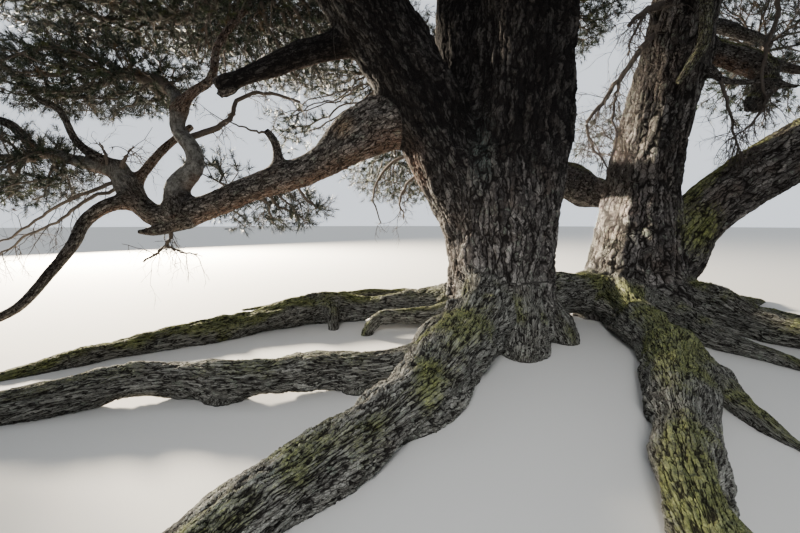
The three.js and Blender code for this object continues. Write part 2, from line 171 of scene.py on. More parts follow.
LOW_BOUGHS = {
    "low_bough": (
        [(-0.9, -0.05, 2.38), (-1.33, -0.02, 2.26), (-1.65, 0, 2.08), (-2.02, 0.1, 1.85), (-2.7, 0.2, 1.63),
         (-3.4, 0.2, 1.37), (-3.87, 0.2, 1.29), (-4.12, 0.25, 1.44), (-4.3, 0.3, 1.66), (-4.39, 0.3, 1.9)],
        [0.29, 0.285, 0.255, 0.17, 0.143, 0.138, 0.122, 0.1, 0.128, 0.06],
    ),
    "s_bough": (
        [(-3.62, 0.2, 1.3), (-3.65, 0.2, 1.6), (-3.45, 0.2, 1.83), (-3.45, 0.2, 2.03), (-3.6, 0.2, 2.28),
         (-3.58, 0.22, 2.56), (-3.85, 0.35, 2.8), (-4.3, 0.5, 2.95)],
        [0.15, 0.13, 0.1, 0.088, 0.072, 0.066, 0.048, 0.04],
    ),
    "west_bough": (
        [(-4.36, 0.3, 1.79), (-4.79, 0.3, 1.9), (-5.14, 0.3, 2.01), (-5.42, 0.3, 1.96)],
        [0.066, 0.062, 0.056, 0.046],
    ),
    "hanging_bough": (
        [(-4.13, 0.25, 1.48), (-4.4, 0.11, 1.4), (-4.59, 0, 1.22), (-4.57, -0.2, 1), (-4.62, -0.45, 0.72),
         (-4.7, -0.8, 0.4), (-4.95, -1.1, 0.33), (-5.35, -1.3, 0.52)],
        [0.082, 0.074, 0.066, 0.06, 0.052, 0.044, 0.038, 0.028],
    ),
    "broken_bough": (
        [(-1.3, -0.1, 3.15), (-1.7, -0.15, 3.02), (-2.03, -0.33, 2.86), (-2.37, -0.5, 2.66),
         (-2.74, -0.62, 2.46)],
        [0.15, 0.135, 0.118, 0.095, 0.048],
    ),
    "back_bough": (
        [(0.25, 0.35, 1.7), (0.75, 0.74, 1.80), (1.34, 1.33, 1.78), (1.85, 1.75, 1.65), (2.4, 2.25, 1.72),
         (2.9, 2.9, 2.15), (3.2, 3.5, 2.6)],
        [0.25, 0.20, 0.24, 0.23, 0.19, 0.14, 0.09],
    ),
    "mossy_stub": (
        [(2.33, 0.76, 3.33), (2.71, 0.7, 3.29), (2.97, 0.66, 3.2), (3.26, 0.6, 3.02), (3.27, 0.57, 2.82),
         (3.14, 0.55, 2.62)],
        [0.14, 0.14, 0.14, 0.135, 0.115, 0.075],
    ),
}
ROOTS = {
    "toe_front_left": (
        [(-0.15, -0.25, 0.56), (-0.33, -0.62, 0.22), (-0.42, -0.85, 0.06)],
        [0.26, 0.25, 0.19],
    ),
    "toe_front": (
        [(0.10, -0.28, 0.55), (0.12, -0.56, 0.22), (0.06, -0.80, 0.04), (0.0, -1.0, -0.14)],
        [0.27, 0.25, 0.20, 0.12],
    ),
    "toe_right": ([(0.32, -0.15, 0.45), (0.52, -0.36, 0.14), (0.62, -0.52, -0.1)], [0.22, 0.18, 0.11]),
    "toe_left": ([(-0.2, 0.15, 0.5), (-0.52, 0.26, 0.24), (-0.8, 0.33, 0.1)], [0.24, 0.19, 0.13]),
    "toe_back": ([(0.2, 0.2, 0.48), (0.33, 0.52, 0.2), (0.38, 0.76, 0.04)], [0.26, 0.22, 0.14]),
    "root_bridge": (
        [(0.42, 0.23, 0.33), (0.85, 0.4, 0.33), (1.3, 0.64, 0.33), (1.8, 0.82, 0.34)],
        [0.23, 0.235, 0.25, 0.31],
    ),
    "root_front_left": (
        [(-0.2, -0.35, 0.42), (-0.48, -1, 0.26), (-0.76, -1.62, 0.17), (-1, -2.04, 0.12), (-1.26, -2.4, 0.09),
         (-1.52, -2.76, 0.08), (-1.78, -3.15, 0.05), (-1.95, -3.6, -0.06)],
        [0.32, 0.29, 0.245, 0.2, 0.172, 0.158, 0.14, 0.09],
    ),
    "root_long_left": (
        [(-0.5, -1.15, 0.15), (-0.9, -1.42, 0.185), (-1.25, -1.64, 0.18), (-1.65, -1.65, 0.16),
         (-2.15, -1.8, 0.15), (-2.83, -1.8, 0.14), (-3.45, -2.05, 0.09), (-4, -2.25, 0.01),
         (-4.4, -2.3, -0.08)],
        [0.1, 0.096, 0.11, 0.124, 0.118, 0.116, 0.112, 0.096, 0.06],
    ),
    "root_far_left": (
        [(-0.35, 0.2, 0.33), (-0.85, 0.34, 0.23), (-1.35, 0.42, 0.17), (-1.95, 0.42, 0.17),
         (-2.35, 0.18, 0.15), (-2.65, 0.03, 0.09), (-3.15, -0.45, 0.07), (-3.79, -0.97, 0.03),
         (-4.3, -1.55, -0.06)],
        [0.19, 0.16, 0.15, 0.178, 0.168, 0.148, 0.142, 0.125, 0.08],
    ),
    "root_thin_far": (
        [(-0.25, 0.45, 0.16), (-0.6, 1.5, 0.06), (-1.1, 2.2, 0.04), (-1.9, 1.95, 0.04), (-2.62, 1.5, 0.02),
         (-3.3, 1, -0.04)],
        [0.13, 0.09, 0.07, 0.07, 0.062, 0.046],
    ),
    "root_right_front": (
        [(1.7, 0.6, 0.26), (1.48, 0, 0.2), (1.34, -0.56, 0.16), (1.16, -1.13, 0.11), (0.7, -1.95, 0.09),
         (0.35, -2.52, 0.07), (0.12, -2.94, 0.06), (-0.06, -3.35, 0.01), (-0.16, -3.7, -0.08)],
        [0.33, 0.25, 0.215, 0.195, 0.158, 0.146, 0.138, 0.118, 0.08],
    ),
    "root_right_low": (
        [(1.33, -0.75, 0.09), (1.34, -1.15, 0.07), (1.22, -1.6, 0.05), (1.11, -1.98, 0.03), (1.06, -2.3, 0),
         (1.08, -2.6, -0.05)],
        [0.15, 0.14, 0.112, 0.086, 0.064, 0.05],
    ),
    "root_right": (
        [(2.3, 0.6, 0.26), (2.6, 0.2, 0.17), (2.72, -0.22, 0.11), (2.95, -0.65, 0.08), (3.3, -0.98, 0.04),
         (3.75, -1.25, -0.06)],
        [0.33, 0.26, 0.205, 0.175, 0.14, 0.09],
    ),
    "root_east": (
        [(2.4, 0.95, 0.26), (2.95, 1, 0.13), (3.45, 1.25, 0.06), (4, 1.35, 0.02), (4.5, 1.65, -0.06)],
        [0.3, 0.22, 0.16, 0.12, 0.07],
    ),
    "root_back": (
        [(0.15, 0.35, 0.3), (0.4, 0.95, 0.13), (0.35, 1.6, 0.08), (0.7, 2.3, 0.04), (0.9, 2.95, -0.06)],
        [0.27, 0.21, 0.15, 0.12, 0.07],
    ),
    "elbow_root": (
        [(-0.4, -0.05, 0.26), (-0.75, -0.1, 0.2), (-1.1, -0.12, 0.19), (-1.33, -0.15, 0.17),
         (-1.45, -0.2, 0.05), (-1.48, -0.23, -0.08)],
        [0.12, 0.09, 0.078, 0.072, 0.062, 0.05],
    ),
    "hump_leg_left": (
        [(-2.2, 0.2, 0.2), (-2.5, -0.05, 0.14), (-2.8, -0.25, 0.04), (-2.98, -0.42, -0.06)],
        [0.08, 0.072, 0.062, 0.05],
    ),
    "hump_leg_right": (
        [(-1.98, 0.38, 0.22), (-1.9, 0.2, 0.16), (-1.86, 0.04, 0.02), (-1.85, -0.02, -0.08)],
        [0.075, 0.062, 0.058, 0.05],
    ),
    "long_root_leg": ([(-2.27, -1.78, 0.12), (-2.31, -1.8, 0.0), (-2.34, -1.8, -0.1)], [0.10, 0.10, 0.09]),
    "long_root_leg_near": (
        [(-1.39, -1.63, 0.14), (-1.42, -1.66, 0.0), (-1.43, -1.67, -0.1)],
        [0.075, 0.07, 0.06],
    ),
    "east_strand": (
        [(2.5, 0.55, 0.22), (2.95, 0.45, 0.12), (3.35, 0.55, 0.07), (3.8, 0.45, 0.02), (4.2, 0.55, -0.07)],
        [0.2, 0.15, 0.11, 0.08, 0.05],
    ),
    "right_strand": (
        [(1.9, 0.25, 0.2), (2.05, -0.2, 0.13), (2.0, -0.65, 0.08), (2.2, -1.1, 0.03), (2.3, -1.5, -0.06)],
        [0.2, 0.15, 0.11, 0.08, 0.05],
    ),
    "knee_root": (
        [(-0.35, -0.6, 0.2), (-0.62, -0.72, 0.27), (-0.85, -0.85, 0.22), (-1.05, -1.0, -0.04)],
        [0.10, 0.085, 0.07, 0.06],
    ),
    "front_root_side": (
        [(-1.0, -2.1, 0.1), (-1.3, -2.5, 0.08), (-1.67, -2.85, 0.06), (-1.96, -3.15, 0.04),
         (-2.1, -3.4, -0.06)],
        [0.08, 0.06, 0.06, 0.05, 0.04],
    ),
    "right_front_twin": (
        [(1.36, -0.8, 0.14), (1.22, -1.15, 0.12), (1.04, -1.7, 0.09), (0.68, -2.25, 0.07),
         (0.5, -2.55, -0.04)],
        [0.15, 0.13, 0.09, 0.065, 0.05],
    ),
}
SIDE_LIMBS = {
    "bend_stub": ([(-3.5, 0.15, 1.24), (-3.85, 0.1, 1.12), (-4.06, 0.08, 1.11)], [0.07, 0.048, 0.022]),
    "knot_riser": (
        [(-4.38, 0.28, 1.85), (-4.81, 0.3, 2.12), (-4.99, 0.3, 2.48), (-5.26, 0.35, 2.63),
         (-5.71, 0.4, 3.02)],
        [0.045, 0.040, 0.036, 0.034, 0.028],
    ),
    "broken_splinter_high": ([(-2.70, -0.60, 2.52), (-2.89, -0.67, 2.44)], [0.030, 0.010]),
    "broken_splinter_low": ([(-2.66, -0.60, 2.44), (-2.80, -0.64, 2.33)], [0.028, 0.010]),
    "stub_splinter_left": ([(3.13, 0.54, 2.66), (3.03, 0.52, 2.52)], [0.045, 0.014]),
    "stub_splinter_right": ([(3.19, 0.54, 2.66), (3.16, 0.52, 2.50)], [0.042, 0.014]),
    "bare_limb": (
        [(2.38, 0.45, 4.25), (2.24, 0.2, 3.64), (2.19, 0.12, 3.18), (2.10, 0.15, 2.96), (2.01, 0.24, 2.76)],
        [0.070, 0.062, 0.062, 0.056, 0.030],
    ),
    "stub_branch": (
        [(3.0, 0.64, 3.2), (3.33, 0.6, 3.12), (3.72, 0.6, 3.04), (4.43, 0.7, 3.08)],
        [0.080, 0.058, 0.048, 0.038],
    ),
    "stub_branch_low": (
        [(2.4, 0.6, 3.12), (2.59, 0.5, 2.98), (2.76, 0.48, 2.87), (3.13, 0.46, 2.85), (3.76, 0.5, 2.8)],
        [0.05, 0.040, 0.033, 0.028, 0.020],
    ),
    "snag": (
        [(-2.46, 0.15, 1.75), (-2.48, 0.15, 2.02), (-2.52, 0.12, 2.15), (-2.59, 0.1, 2.23)],
        [0.06, 0.045, 0.042, 0.035],
    ),
    "west_bough_up": ([(-5.3, 0.3, 2.02), (-5.58, 0.3, 2.33), (-5.92, 0.3, 2.41)], [0.056, 0.05, 0.04]),
    "s_bough_upper": (
        [(-3.6, 0.2, 2.45), (-3.38, 0.1, 2.61), (-3.13, 0.05, 2.76), (-3.07, 0.1, 3.1), (-2.95, 0.3, 3.45),
         (-2.8, 0.5, 3.75)],
        [0.06, 0.052, 0.046, 0.041, 0.036, 0.03],
    ),
    "cross_bough": ([(-4.2, 0.35, 1.7), (-4.02, 0.6, 2.1), (-3.8, 0.9, 2.45)], [0.055, 0.05, 0.042]),
    "burl": ([(0.40, -0.12, 3.12), (0.60, -0.24, 3.17)], [0.20, 0.15]),
}
HIGH_BOUGHS = {
    "bough_west_roof": ("stem_left", 0.45, "foliage_west_roof", 0.150),
    "bough_front_west": ("stem_left", 0.55, "foliage_front_west", 0.130),
    "bough_middle_southwest": ("stem_left", 0.72, "foliage_middle_southwest", 0.105),
    "bough_middle_northwest": ("stem_middle", 0.56, "foliage_middle_northwest", 0.115),
    "bough_back_left": ("stem_middle", 0.26, "foliage_back_left", 0.130),
    "bough_back_middle": ("stem_middle", 0.42, "foliage_back_middle", 0.115),
    "bough_middle_north": ("stem_middle", 0.66, "foliage_middle_north", 0.110),
    "bough_front": ("stem_leader", 0.42, "foliage_front", 0.150),
    "bough_front_right": ("stem_leader", 0.5, "foliage_front_right", 0.135),
    "bough_middle_south": ("stem_leader", 0.66, "foliage_middle_south", 0.105),
    "bough_back_right": ("stem_right", 0.6, "foliage_back_right", 0.130),
    "bough_middle_east": ("stem_right", 0.74, "foliage_middle_east", 0.105),
    "bough_east_low": ("stem_diagonal", 0.62, "foliage_east_low", 0.110),
}


def course_point(points, share):
    """The place at share, from 0 to 1, on the smooth course through the points."""
    points = np.asarray(points, float)
    last = len(points) - 1
    at = min(int(share * last), last - 1)
    t = share * last - at
    p1, p2 = points[at], points[at + 1]
    p0 = points[at - 1] if at > 0 else 2 * p1 - p2
    p3 = points[at + 2] if at + 2 <= last else 2 * p2 - p1
    a, b = 0.5 * (p2 - p0), 0.5 * (p3 - p1)
    return p1 + a * t + (3 * (p2 - p1) - 2 * a - b) * t * t + (2 * (p1 - p2) + a + b) * t**3


def mass_middle(node):
    low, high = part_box(node)
    middle = (low + high) / 2
    reach = (high - low) / 2
    return np.array(middle), np.array(reach)


ARCH = 0.10
WANDER = 0.07


def high_bough(stem, up, mass, radius):
    foot = course_point(STEMS[stem][0], up)
    middle, reach = mass_middle(mass)
    tip = middle - (0, 0, 0.4 * reach[2])
    along = tip - foot
    length = np.linalg.norm(along)
    side = np.array((-along[1], along[0], 0)) / np.linalg.norm(along[:2])

    def place(share, rise, sway):
        return foot + along * share + side * sway * WANDER * length + np.array((0, 0, rise * ARCH * length))

    course = [place(0, 0, 0), place(0.2, 0.8, 0.7), place(0.45, 1, 0.4), place(0.75, 0.1, -1), place(1, 0, 0)]
    return course, [share * radius for share in (1, 0.9, 0.78, 0.6, 0.45)]


LIMBS = {**STEMS, **LOW_BOUGHS, **ROOTS, **SIDE_LIMBS}
for name, rule in HIGH_BOUGHS.items():
    LIMBS[name] = high_bough(*rule)

# The body of the wood
# All limbs are one piece of wood. Their tubes are melted together by a voxel remesh, and the
# surface is then drawn onto a smooth union of the tubes, so that forks and roots flow together.

SAMPLE_STEP = 0.06
PLATE_BASE = 0.018
PLATE_GROWTH = 0.07
PLATE_WIDEST = 0.058


class Limb:
    """A limb sampled along its course, with a frame at each sample that doesn't twist."""

    def __init__(self, name, course, radii):
        self.name = name
        lengths = np.linalg.norm(np.diff(np.asarray(course, float), axis=0), axis=1)
        shares, sizes = [], []
        last = len(course) - 1
        for i, length in enumerate(lengths):
            steps = max(2, int(length / SAMPLE_STEP))
            for k in range(steps):
                shares.append((i + k / steps) / last)
                sizes.append(radii[i] + (radii[i + 1] - radii[i]) * k / steps)
        shares.append(1.0)
        sizes.append(radii[-1])
        self.centre = np.array([course_point(course, s) for s in shares])
        self.radius = np.array(sizes)
        tangent = np.gradient(self.centre, axis=0)
        self.tangent = tangent / np.linalg.norm(tangent, axis=1, keepdims=True)
        self.along = np.concatenate([[0], np.cumsum(np.linalg.norm(np.diff(self.centre, axis=0), axis=1))])
        side = np.array((1.0, 0, 0)) if abs(self.tangent[0][2]) > 0.7 else np.array((0, 0, 1.0))
        self.side = np.zeros_like(self.centre)
        for i, direction in enumerate(self.tangent):
            side = side - direction * side.dot(direction)
            side /= np.linalg.norm(side)
            self.side[i] = side
        self.across = np.cross(self.tangent, self.side)
        self.plate = np.clip(PLATE_BASE + PLATE_GROWTH * self.radius, PLATE_BASE, PLATE_WIDEST)
        steps = np.diff(self.along) / (0.5 * (self.plate[1:] + self.plate[:-1]))
        self.plates_along = np.concatenate([[0], np.cumsum(steps)])

    def tube(self, sides=16):
        """The limb as a closed tube: its vertices and faces."""
        turn = np.linspace(0, 2 * math.pi, sides, endpoint=False)
        ring = np.cos(turn)[:, None, None] * self.side + np.sin(turn)[:, None, None] * self.across
        points = self.centre + ring * self.radius[:, None]
        points = points.transpose(1, 0, 2).reshape(-1, 3)
        faces = []
        rings = len(self.centre)
        for r in range(rings - 1):
            for c in range(sides):
                d = (c + 1) % sides
                faces.append((r * sides + c, r * sides + d, (r + 1) * sides + d, (r + 1) * sides + c))
        faces.append(tuple(reversed(range(sides))))
        faces.append(tuple(range((rings - 1) * sides, rings * sides)))
        return points, faces

    def measure(self, points, reach=0.45):
        """For points near the limb: which they are, how far off its surface, the way out, and their place
        on it as if the limb were straight."""
        margin = self.radius.max() + reach
        low, high = self.centre.min(0) - margin, self.centre.max(0) + margin
        near = np.where(np.all((points > low) & (points < high), axis=1))[0]
        p = points[near]
        best = np.empty(len(near), int)
        spread = (self.centre * self.centre).sum(1)
        for start in range(0, len(near), 50000):
            part = slice(start, start + 50000)
            best[part] = (spread - 2 * p[part] @ self.centre.T).argmin(1)
        offset = p - self.centre[best]
        ahead = (offset * self.tangent[best]).sum(1)
        slope = np.gradient(self.radius, self.along)
        radius = self.radius[best] + slope[best] * ahead
        out = offset - self.tangent[best] * ahead[:, None]
        width = np.linalg.norm(out, axis=1)
        beyond = np.where(best == 0, np.maximum(-ahead, 0), 0)
        beyond += np.where(best == len(self.centre) - 1, np.maximum(ahead, 0), 0)
        radius = np.where(beyond > 0, self.radius[best], radius)
        off = np.where(beyond > 0, np.hypot(np.maximum(width - radius, 0), beyond), width - radius)
        way = out / np.maximum(width, 1e-6)[:, None]
        way = np.where((beyond > 0)[:, None], np.sign(ahead)[:, None] * self.tangent[best] + way * 0.3, way)
        way /= np.linalg.norm(way, axis=1, keepdims=True)
        plate = self.plate[best]
        place = np.stack(
            [
                (out * self.side[best]).sum(1) / plate,
                (out * self.across[best]).sum(1) / plate,
                self.plates_along[best] + ahead / plate,
            ],
            axis=1,
        )
        return near, off, way, place, np.maximum(radius, 0.02)


limbs = [Limb(name, *LIMBS[name]) for name in LIMBS]

VOXEL = 0.030
FILLET = 0.045
FURTHEST_PULL = 0.05


def strongest_two(points):
    """The smooth union's gap and way out, and for the two limbs that matter most at each point: which limb,
    its straightened place and its radius there, and how much the second one counts."""
    size = len(points)
    total, way = np.zeros(size), np.zeros((size, 3))
    best = [np.full(size, -1.0), np.full(size, -1.0)]
    which = [np.zeros(size, int), np.zeros(size, int)]
    place = [np.zeros((size, 3)), np.zeros((size, 3))]
    radius = [np.full(size, 0.1), np.full(size, 0.1)]
    for number, limb in enumerate(limbs):
        near, off, out, spot, wide = limb.measure(points)
        weight = np.exp(np.clip(-off / FILLET, -30, 12))
        total[near] += weight
        way[near] += out * weight[:, None]
        top = weight > best[0][near]
        ahead = near[top]
        for layer in (best, which, place, radius):
            layer[1][ahead] = layer[0][ahead]
        best[0][ahead], which[0][ahead] = weight[top], number
        place[0][ahead], radius[0][ahead] = spot[top], wide[top]
        middling = ~top & (weight > best[1][near])
        behind = near[middling]
        best[1][behind], which[1][behind] = weight[middling], number
        place[1][behind], radius[1][behind] = spot[middling], wide[middling]
    gap = -FILLET * np.log(np.maximum(total, 1e-12))
    way /= np.maximum(np.linalg.norm(way, axis=1, keepdims=True), 1e-9)
    share = np.maximum(best[1], 0) / (np.maximum(best[1], 0) + best[0])
    return gap, way, which, place, radius, share


def mesh_object(name, points, faces):
    mesh = bpy.data.meshes.new(name)
    mesh.from_pydata([tuple(p) for p in points], [], faces)
    mesh.update()
    made = bpy.data.objects.new(name, mesh)
    bpy.context.scene.collection.objects.link(made)
    return made


def only(piece):
    """Makes the piece the only one selected, and the active one."""
    bpy.ops.object.select_all(action="DESELECT")
    piece.select_set(True)
    bpy.context.view_layer.objects.active = piece


def coordinates(piece):
    flat = np.empty(len(piece.data.vertices) * 3, np.float32)
    piece.data.vertices.foreach_get("co", flat)
    return flat.reshape(-1, 3).astype(float)


def set_coordinates(piece, points):
    piece.data.vertices.foreach_set("co", np.asarray(points, np.float32).ravel())
    piece.data.update()


all_points, all_faces = [], []
start = 0
for limb in limbs:
    points, faces = limb.tube()
    all_points.append(points)
    all_faces += [tuple(i + start for i in face) for face in faces]
    start += len(points)
wood = mesh_object("wood", np.concatenate(all_points), all_faces)
only(wood)
remesh = wood.modifiers.new("melt", "REMESH")
remesh.mode = "VOXEL"
remesh.voxel_size = VOXEL
bpy.ops.object.modifier_apply(modifier=remesh.name)
smooth = wood.modifiers.new("smooth", "SMOOTH")
smooth.factor = 0.5
smooth.iterations = 4
bpy.ops.object.modifier_apply(modifier=smooth.name)
points = coordinates(wood)
for _ in range(2):
    gap, way, *_ = strongest_two(points)
    points -= way * np.clip(gap, -FURTHEST_PULL, FURTHEST_PULL)[:, None]
set_coordinates(wood, points)

# Finer faces where the eye comes close, coarser ones high in the crown. For each round of finer
# faces: how near the eye they lie, and how much they turn towards it.
FINE_LEVELS = [(7.0, -0.15), (2.8, 0.05)]
COARSE_ABOVE = 4.6
COARSE_SHARE = 0.35
# How wide and how high the eye sees at each metre ahead, with room to spare
SEEN_ASIDE = 1.12
SEEN_UP = 0.66
SEEN_MARGIN = 0.3
UNDER_GROUND = -0.03


def select_faces(piece, chosen):
    only(piece)
    bpy.context.tool_settings.mesh_select_mode = (False, False, True)
    bpy.ops.object.mode_set(mode="EDIT")
    bpy.ops.mesh.select_all(action="DESELECT")
    bpy.ops.object.mode_set(mode="OBJECT")
    piece.data.polygons.foreach_set("select", chosen)


def face_values(mesh, name, width):
    values = np.empty(len(mesh.polygons) * width, np.int32 if name == "loop_total" else np.float32)
    mesh.polygons.foreach_get(name, values)
    return values.reshape(-1, width)


def finer(piece, within, facing):
    middle, normal = face_values(piece.data, "center", 3), face_values(piece.data, "normal", 3)
    sight = np.array(EYE) - middle
    far = np.linalg.norm(sight, axis=1)
    towards = (sight * normal).sum(1) / far
    depth = -sight[:, 1]
    aside = np.abs(sight[:, 0]) < SEEN_ASIDE * depth + SEEN_MARGIN
    high = middle[:, 2]
    upright = (high < EYE[2] + SEEN_UP * depth) & (high > UNDER_GROUND)
    select_faces(piece, (far < within) & (towards > facing) & aside & upright)
    bpy.ops.object.mode_set(mode="EDIT")
    bpy.ops.mesh.subdivide(number_cuts=1)
    bpy.ops.object.mode_set(mode="OBJECT")


high = wood.vertex_groups.new(name="high")
above = np.where(points[:, 2] > COARSE_ABOVE)[0]
high.add(above.tolist(), 1.0, "REPLACE")
only(wood)
thin = wood.modifiers.new("thin", "DECIMATE")
thin.vertex_group = "high"
thin.ratio = 1 - (1 - COARSE_SHARE) * len(above) / len(points)
bpy.ops.object.modifier_apply(modifier=thin.name)
wood.vertex_groups.clear()
for within, facing in FINE_LEVELS:
    finer(wood, within, facing)

# The bark's relief
# Old pine bark breaks into long ridges between deep furrows, and the ridges into plates. The
# furrows are borders of cells in the straightened limb, so they run with its grain round bends.


def scatter(cell, seed):
    """Three even random numbers for each whole-number cell."""
    x, y, z = cell.T
    mix = x * np.uint32(73856093) ^ y * np.uint32(19349663) ^ z * np.uint32(83492791)
    mix = (mix ^ np.uint32(seed * 2654435761 % 2**32)) * np.uint32(2246822519)
    mix ^= mix >> np.uint32(13)
    mix *= np.uint32(3266489917)
    mix ^= mix >> np.uint32(16)
    parts = [((mix >> np.uint32(shift)) & np.uint32(1023)).astype(np.float32) / 1023 for shift in (0, 10, 20)]
    return np.stack(parts, axis=1)


def cloud(place, seed):
    """Smooth random swelling from -1 to 1, one lump to a unit."""
    place = place.astype(np.float32)
    home = np.floor(place)
    inside = place - home
    inside = inside * inside * (3 - 2 * inside)
    total = np.zeros(len(place), np.float32)
    for dx in (0, 1):
        for dy in (0, 1):
            for dz in (0, 1):
                corner = (home + np.array((dx, dy, dz), np.float32)).astype(np.int32).astype(np.uint32)
                share = np.ones(len(place), np.float32)
                for axis, d in enumerate((dx, dy, dz)):
                    share *= inside[:, axis] if d else 1 - inside[:, axis]
                total += share * scatter(corner, seed)[:, 0]
    return total * 2 - 1


def ramp(value, low, high):
    t = np.clip((value - low) / (high - low), 0, 1)
    return t * t * (3 - 2 * t)


class Nodes:
    """Short ways to add and join the nodes of one tree."""

    def __init__(self, tree):
        self.nodes, self.links = tree.nodes, tree.links

    def put(self, socket, value):
        if isinstance(value, bpy.types.NodeSocket):
            self.links.new(value, socket)
        else:
            socket.default_value = value

    def add(self, kind, inputs=None, **settings):
        node = self.nodes.new(kind)
        for key, value in settings.items():
            setattr(node, key, value)
        for key, value in (inputs or {}).items():
            self.put(node.inputs[key], value)
        return node

    def noise(self, place, scale, detail=4.0, roughness=0.6, output=0):
        inputs = {"Vector": place, "Scale": scale, "Detail": detail, "Roughness": roughness}
        return self.add("ShaderNodeTexNoise", inputs).outputs[output]

    def border(self, place, scale):
        inputs = {"Vector": place, "Scale": scale}
        return self.add("ShaderNodeTexVoronoi", inputs, feature="DISTANCE_TO_EDGE").outputs["Distance"]

    def tone(self, place, scale):
        colour = self.add("ShaderNodeTexVoronoi", {"Vector": place, "Scale": scale}).outputs["Color"]
        return self.add("ShaderNodeSeparateXYZ", {"Vector": colour}).outputs["X"]

    def math(self, operation, first, second=0.0, clamp=False):
        inputs = {0: first, 1: second}
        return self.add("ShaderNodeMath", inputs, operation=operation, use_clamp=clamp).outputs[0]

    def vector(self, operation, first, second):
        return self.add("ShaderNodeVectorMath", {0: first, 1: second}, operation=operation).outputs[0]

    def spread(self, value, low, high, new_low=0.0, new_high=1.0):
        inputs = {"Value": value, "From Min": low, "From Max": high, "To Min": new_low, "To Max": new_high}
        return self.add("ShaderNodeMapRange", inputs).outputs["Result"]


FURROW_STRETCH = (1, 1, 0.17)
SPLIT_STRETCH = (1.15, 1.15, 0.55)


def bark_pattern(nodes, grain):
    """How deep a point lies in a long furrow and in a cross split, and its plate's own tone."""
    sway = nodes.vector("SUBTRACT", nodes.noise(grain, 0.55, 2.0, 0.6, 1), (0.5, 0.5, 0.5))
    bent = nodes.vector("ADD", grain, nodes.vector("MULTIPLY", sway, (1.5, 1.5, 1.5)))
    ridges = nodes.vector("MULTIPLY", bent, FURROW_STRETCH)
    plates = nodes.vector("MULTIPLY", bent, SPLIT_STRETCH)
    width = nodes.spread(nodes.noise(grain, 0.6, 1.0), 0.35, 0.65, 0.05, 0.22)
    furrow = nodes.math("DIVIDE", nodes.border(ridges, 1.0), width)
    furrow = nodes.math("SUBTRACT", 1.0, furrow, True)
    narrow = nodes.spread(nodes.noise(grain, 1.3, 1.0), 0.35, 0.65, 0.02, 0.13)
    split = nodes.math("DIVIDE", nodes.border(plates, 1.0), narrow)
    split = nodes.math("SUBTRACT", 1.0, split, True)
    tone = nodes.math("ADD", nodes.tone(plates, 1.0), nodes.tone(ridges, 1.0))
    return furrow, split, nodes.math("MULTIPLY", tone, 0.5)


# For each way of cracking: how much closer the plates sit along the grain, depth for each metre of
# radius, least depth and greatest depth
PLATED = (1.0, 0.055, 0.002, 0.030)
RIDGED = (0.75, 0.110, 0.004, 0.020)
FINE = (1.1, 0.050, 0.0015, 0.010)
SMOOTH = (1.6, 0.018, 0.0005, 0.0016)
SMOOTH_LIMBS = ("s_bough", "west_bough")
# The right stems' plates are larger than the trunk's
RIGHT_STEMS = ("stem_right", "stem_diagonal")
LARGER_PLATES = 0.32
# Swellings stop growing with the limb at this radius
THICKEST = 0.6

# The hollow that runs down the fork between the left stem and the leader: dented into the wood, and darkened
# by painted shade
HOLLOW_PLACE = (-0.31, -0.45, 2.85)
HOLLOW_REACH = (0.15, 0.5, 0.95)
HOLLOW_DEPTH = 0.09


def grain_of(name):
    if name in SMOOTH_LIMBS:
        return SMOOTH
    if name in ROOTS and name != "root_bridge":
        return RIDGED
    if name in LOW_BOUGHS or name in HIGH_BOUGHS or name in SIDE_LIMBS:
        return FINE
    return PLATED


def store(piece, name, values, kind="FLOAT"):
    layer = piece.data.attributes.new(name, kind, "POINT")
    field = "vector" if kind == "FLOAT_VECTOR" else "value"
    layer.data.foreach_set(field, np.asarray(values, np.float32).ravel())


def set_vectors(piece, name, values):
    if name in piece.data.attributes:
        piece.data.attributes.remove(piece.data.attributes[name])
    store(piece, name, values, "FLOAT_VECTOR")


def read(piece, name):
    values = np.empty(len(piece.data.vertices), np.float32)
    piece.data.attributes[name].data.foreach_get("value", values)
    return values


def bark_fields(piece):
    """Stores the bark pattern at every vertex, by a node tree that is applied at once."""
    group = bpy.data.node_groups.new("bark_fields", "GeometryNodeTree")
    group.interface.new_socket("Geometry", in_out="INPUT", socket_type="NodeSocketGeometry")
    group.interface.new_socket("Geometry", in_out="OUTPUT", socket_type="NodeSocketGeometry")
    nodes = Nodes(group)
    shape = nodes.add("NodeGroupInput").outputs[0]
    stored = nodes.add("GeometryNodeInputNamedAttribute", {"Name": "grain"}, data_type="FLOAT_VECTOR")
    grain = stored.outputs[0]
    for name, field in zip(("furrow", "split", "tone"), bark_pattern(nodes, grain)):
        kept = nodes.add("GeometryNodeStoreNamedAttribute", {"Geometry": shape, "Name": name, "Value": field})
        shape = kept.outputs[0]
    nodes.links.new(shape, nodes.add("NodeGroupOutput").inputs[0])
    only(piece)
    layer = piece.modifiers.new("fields", "NODES")
    layer.node_group = group
    bpy.ops.object.modifier_apply(modifier=layer.name)


def on_limbs(names):
    numbers = [number for number, limb in enumerate(limbs) if limb.name in names]
    return np.isin(which[0], numbers).astype(float)


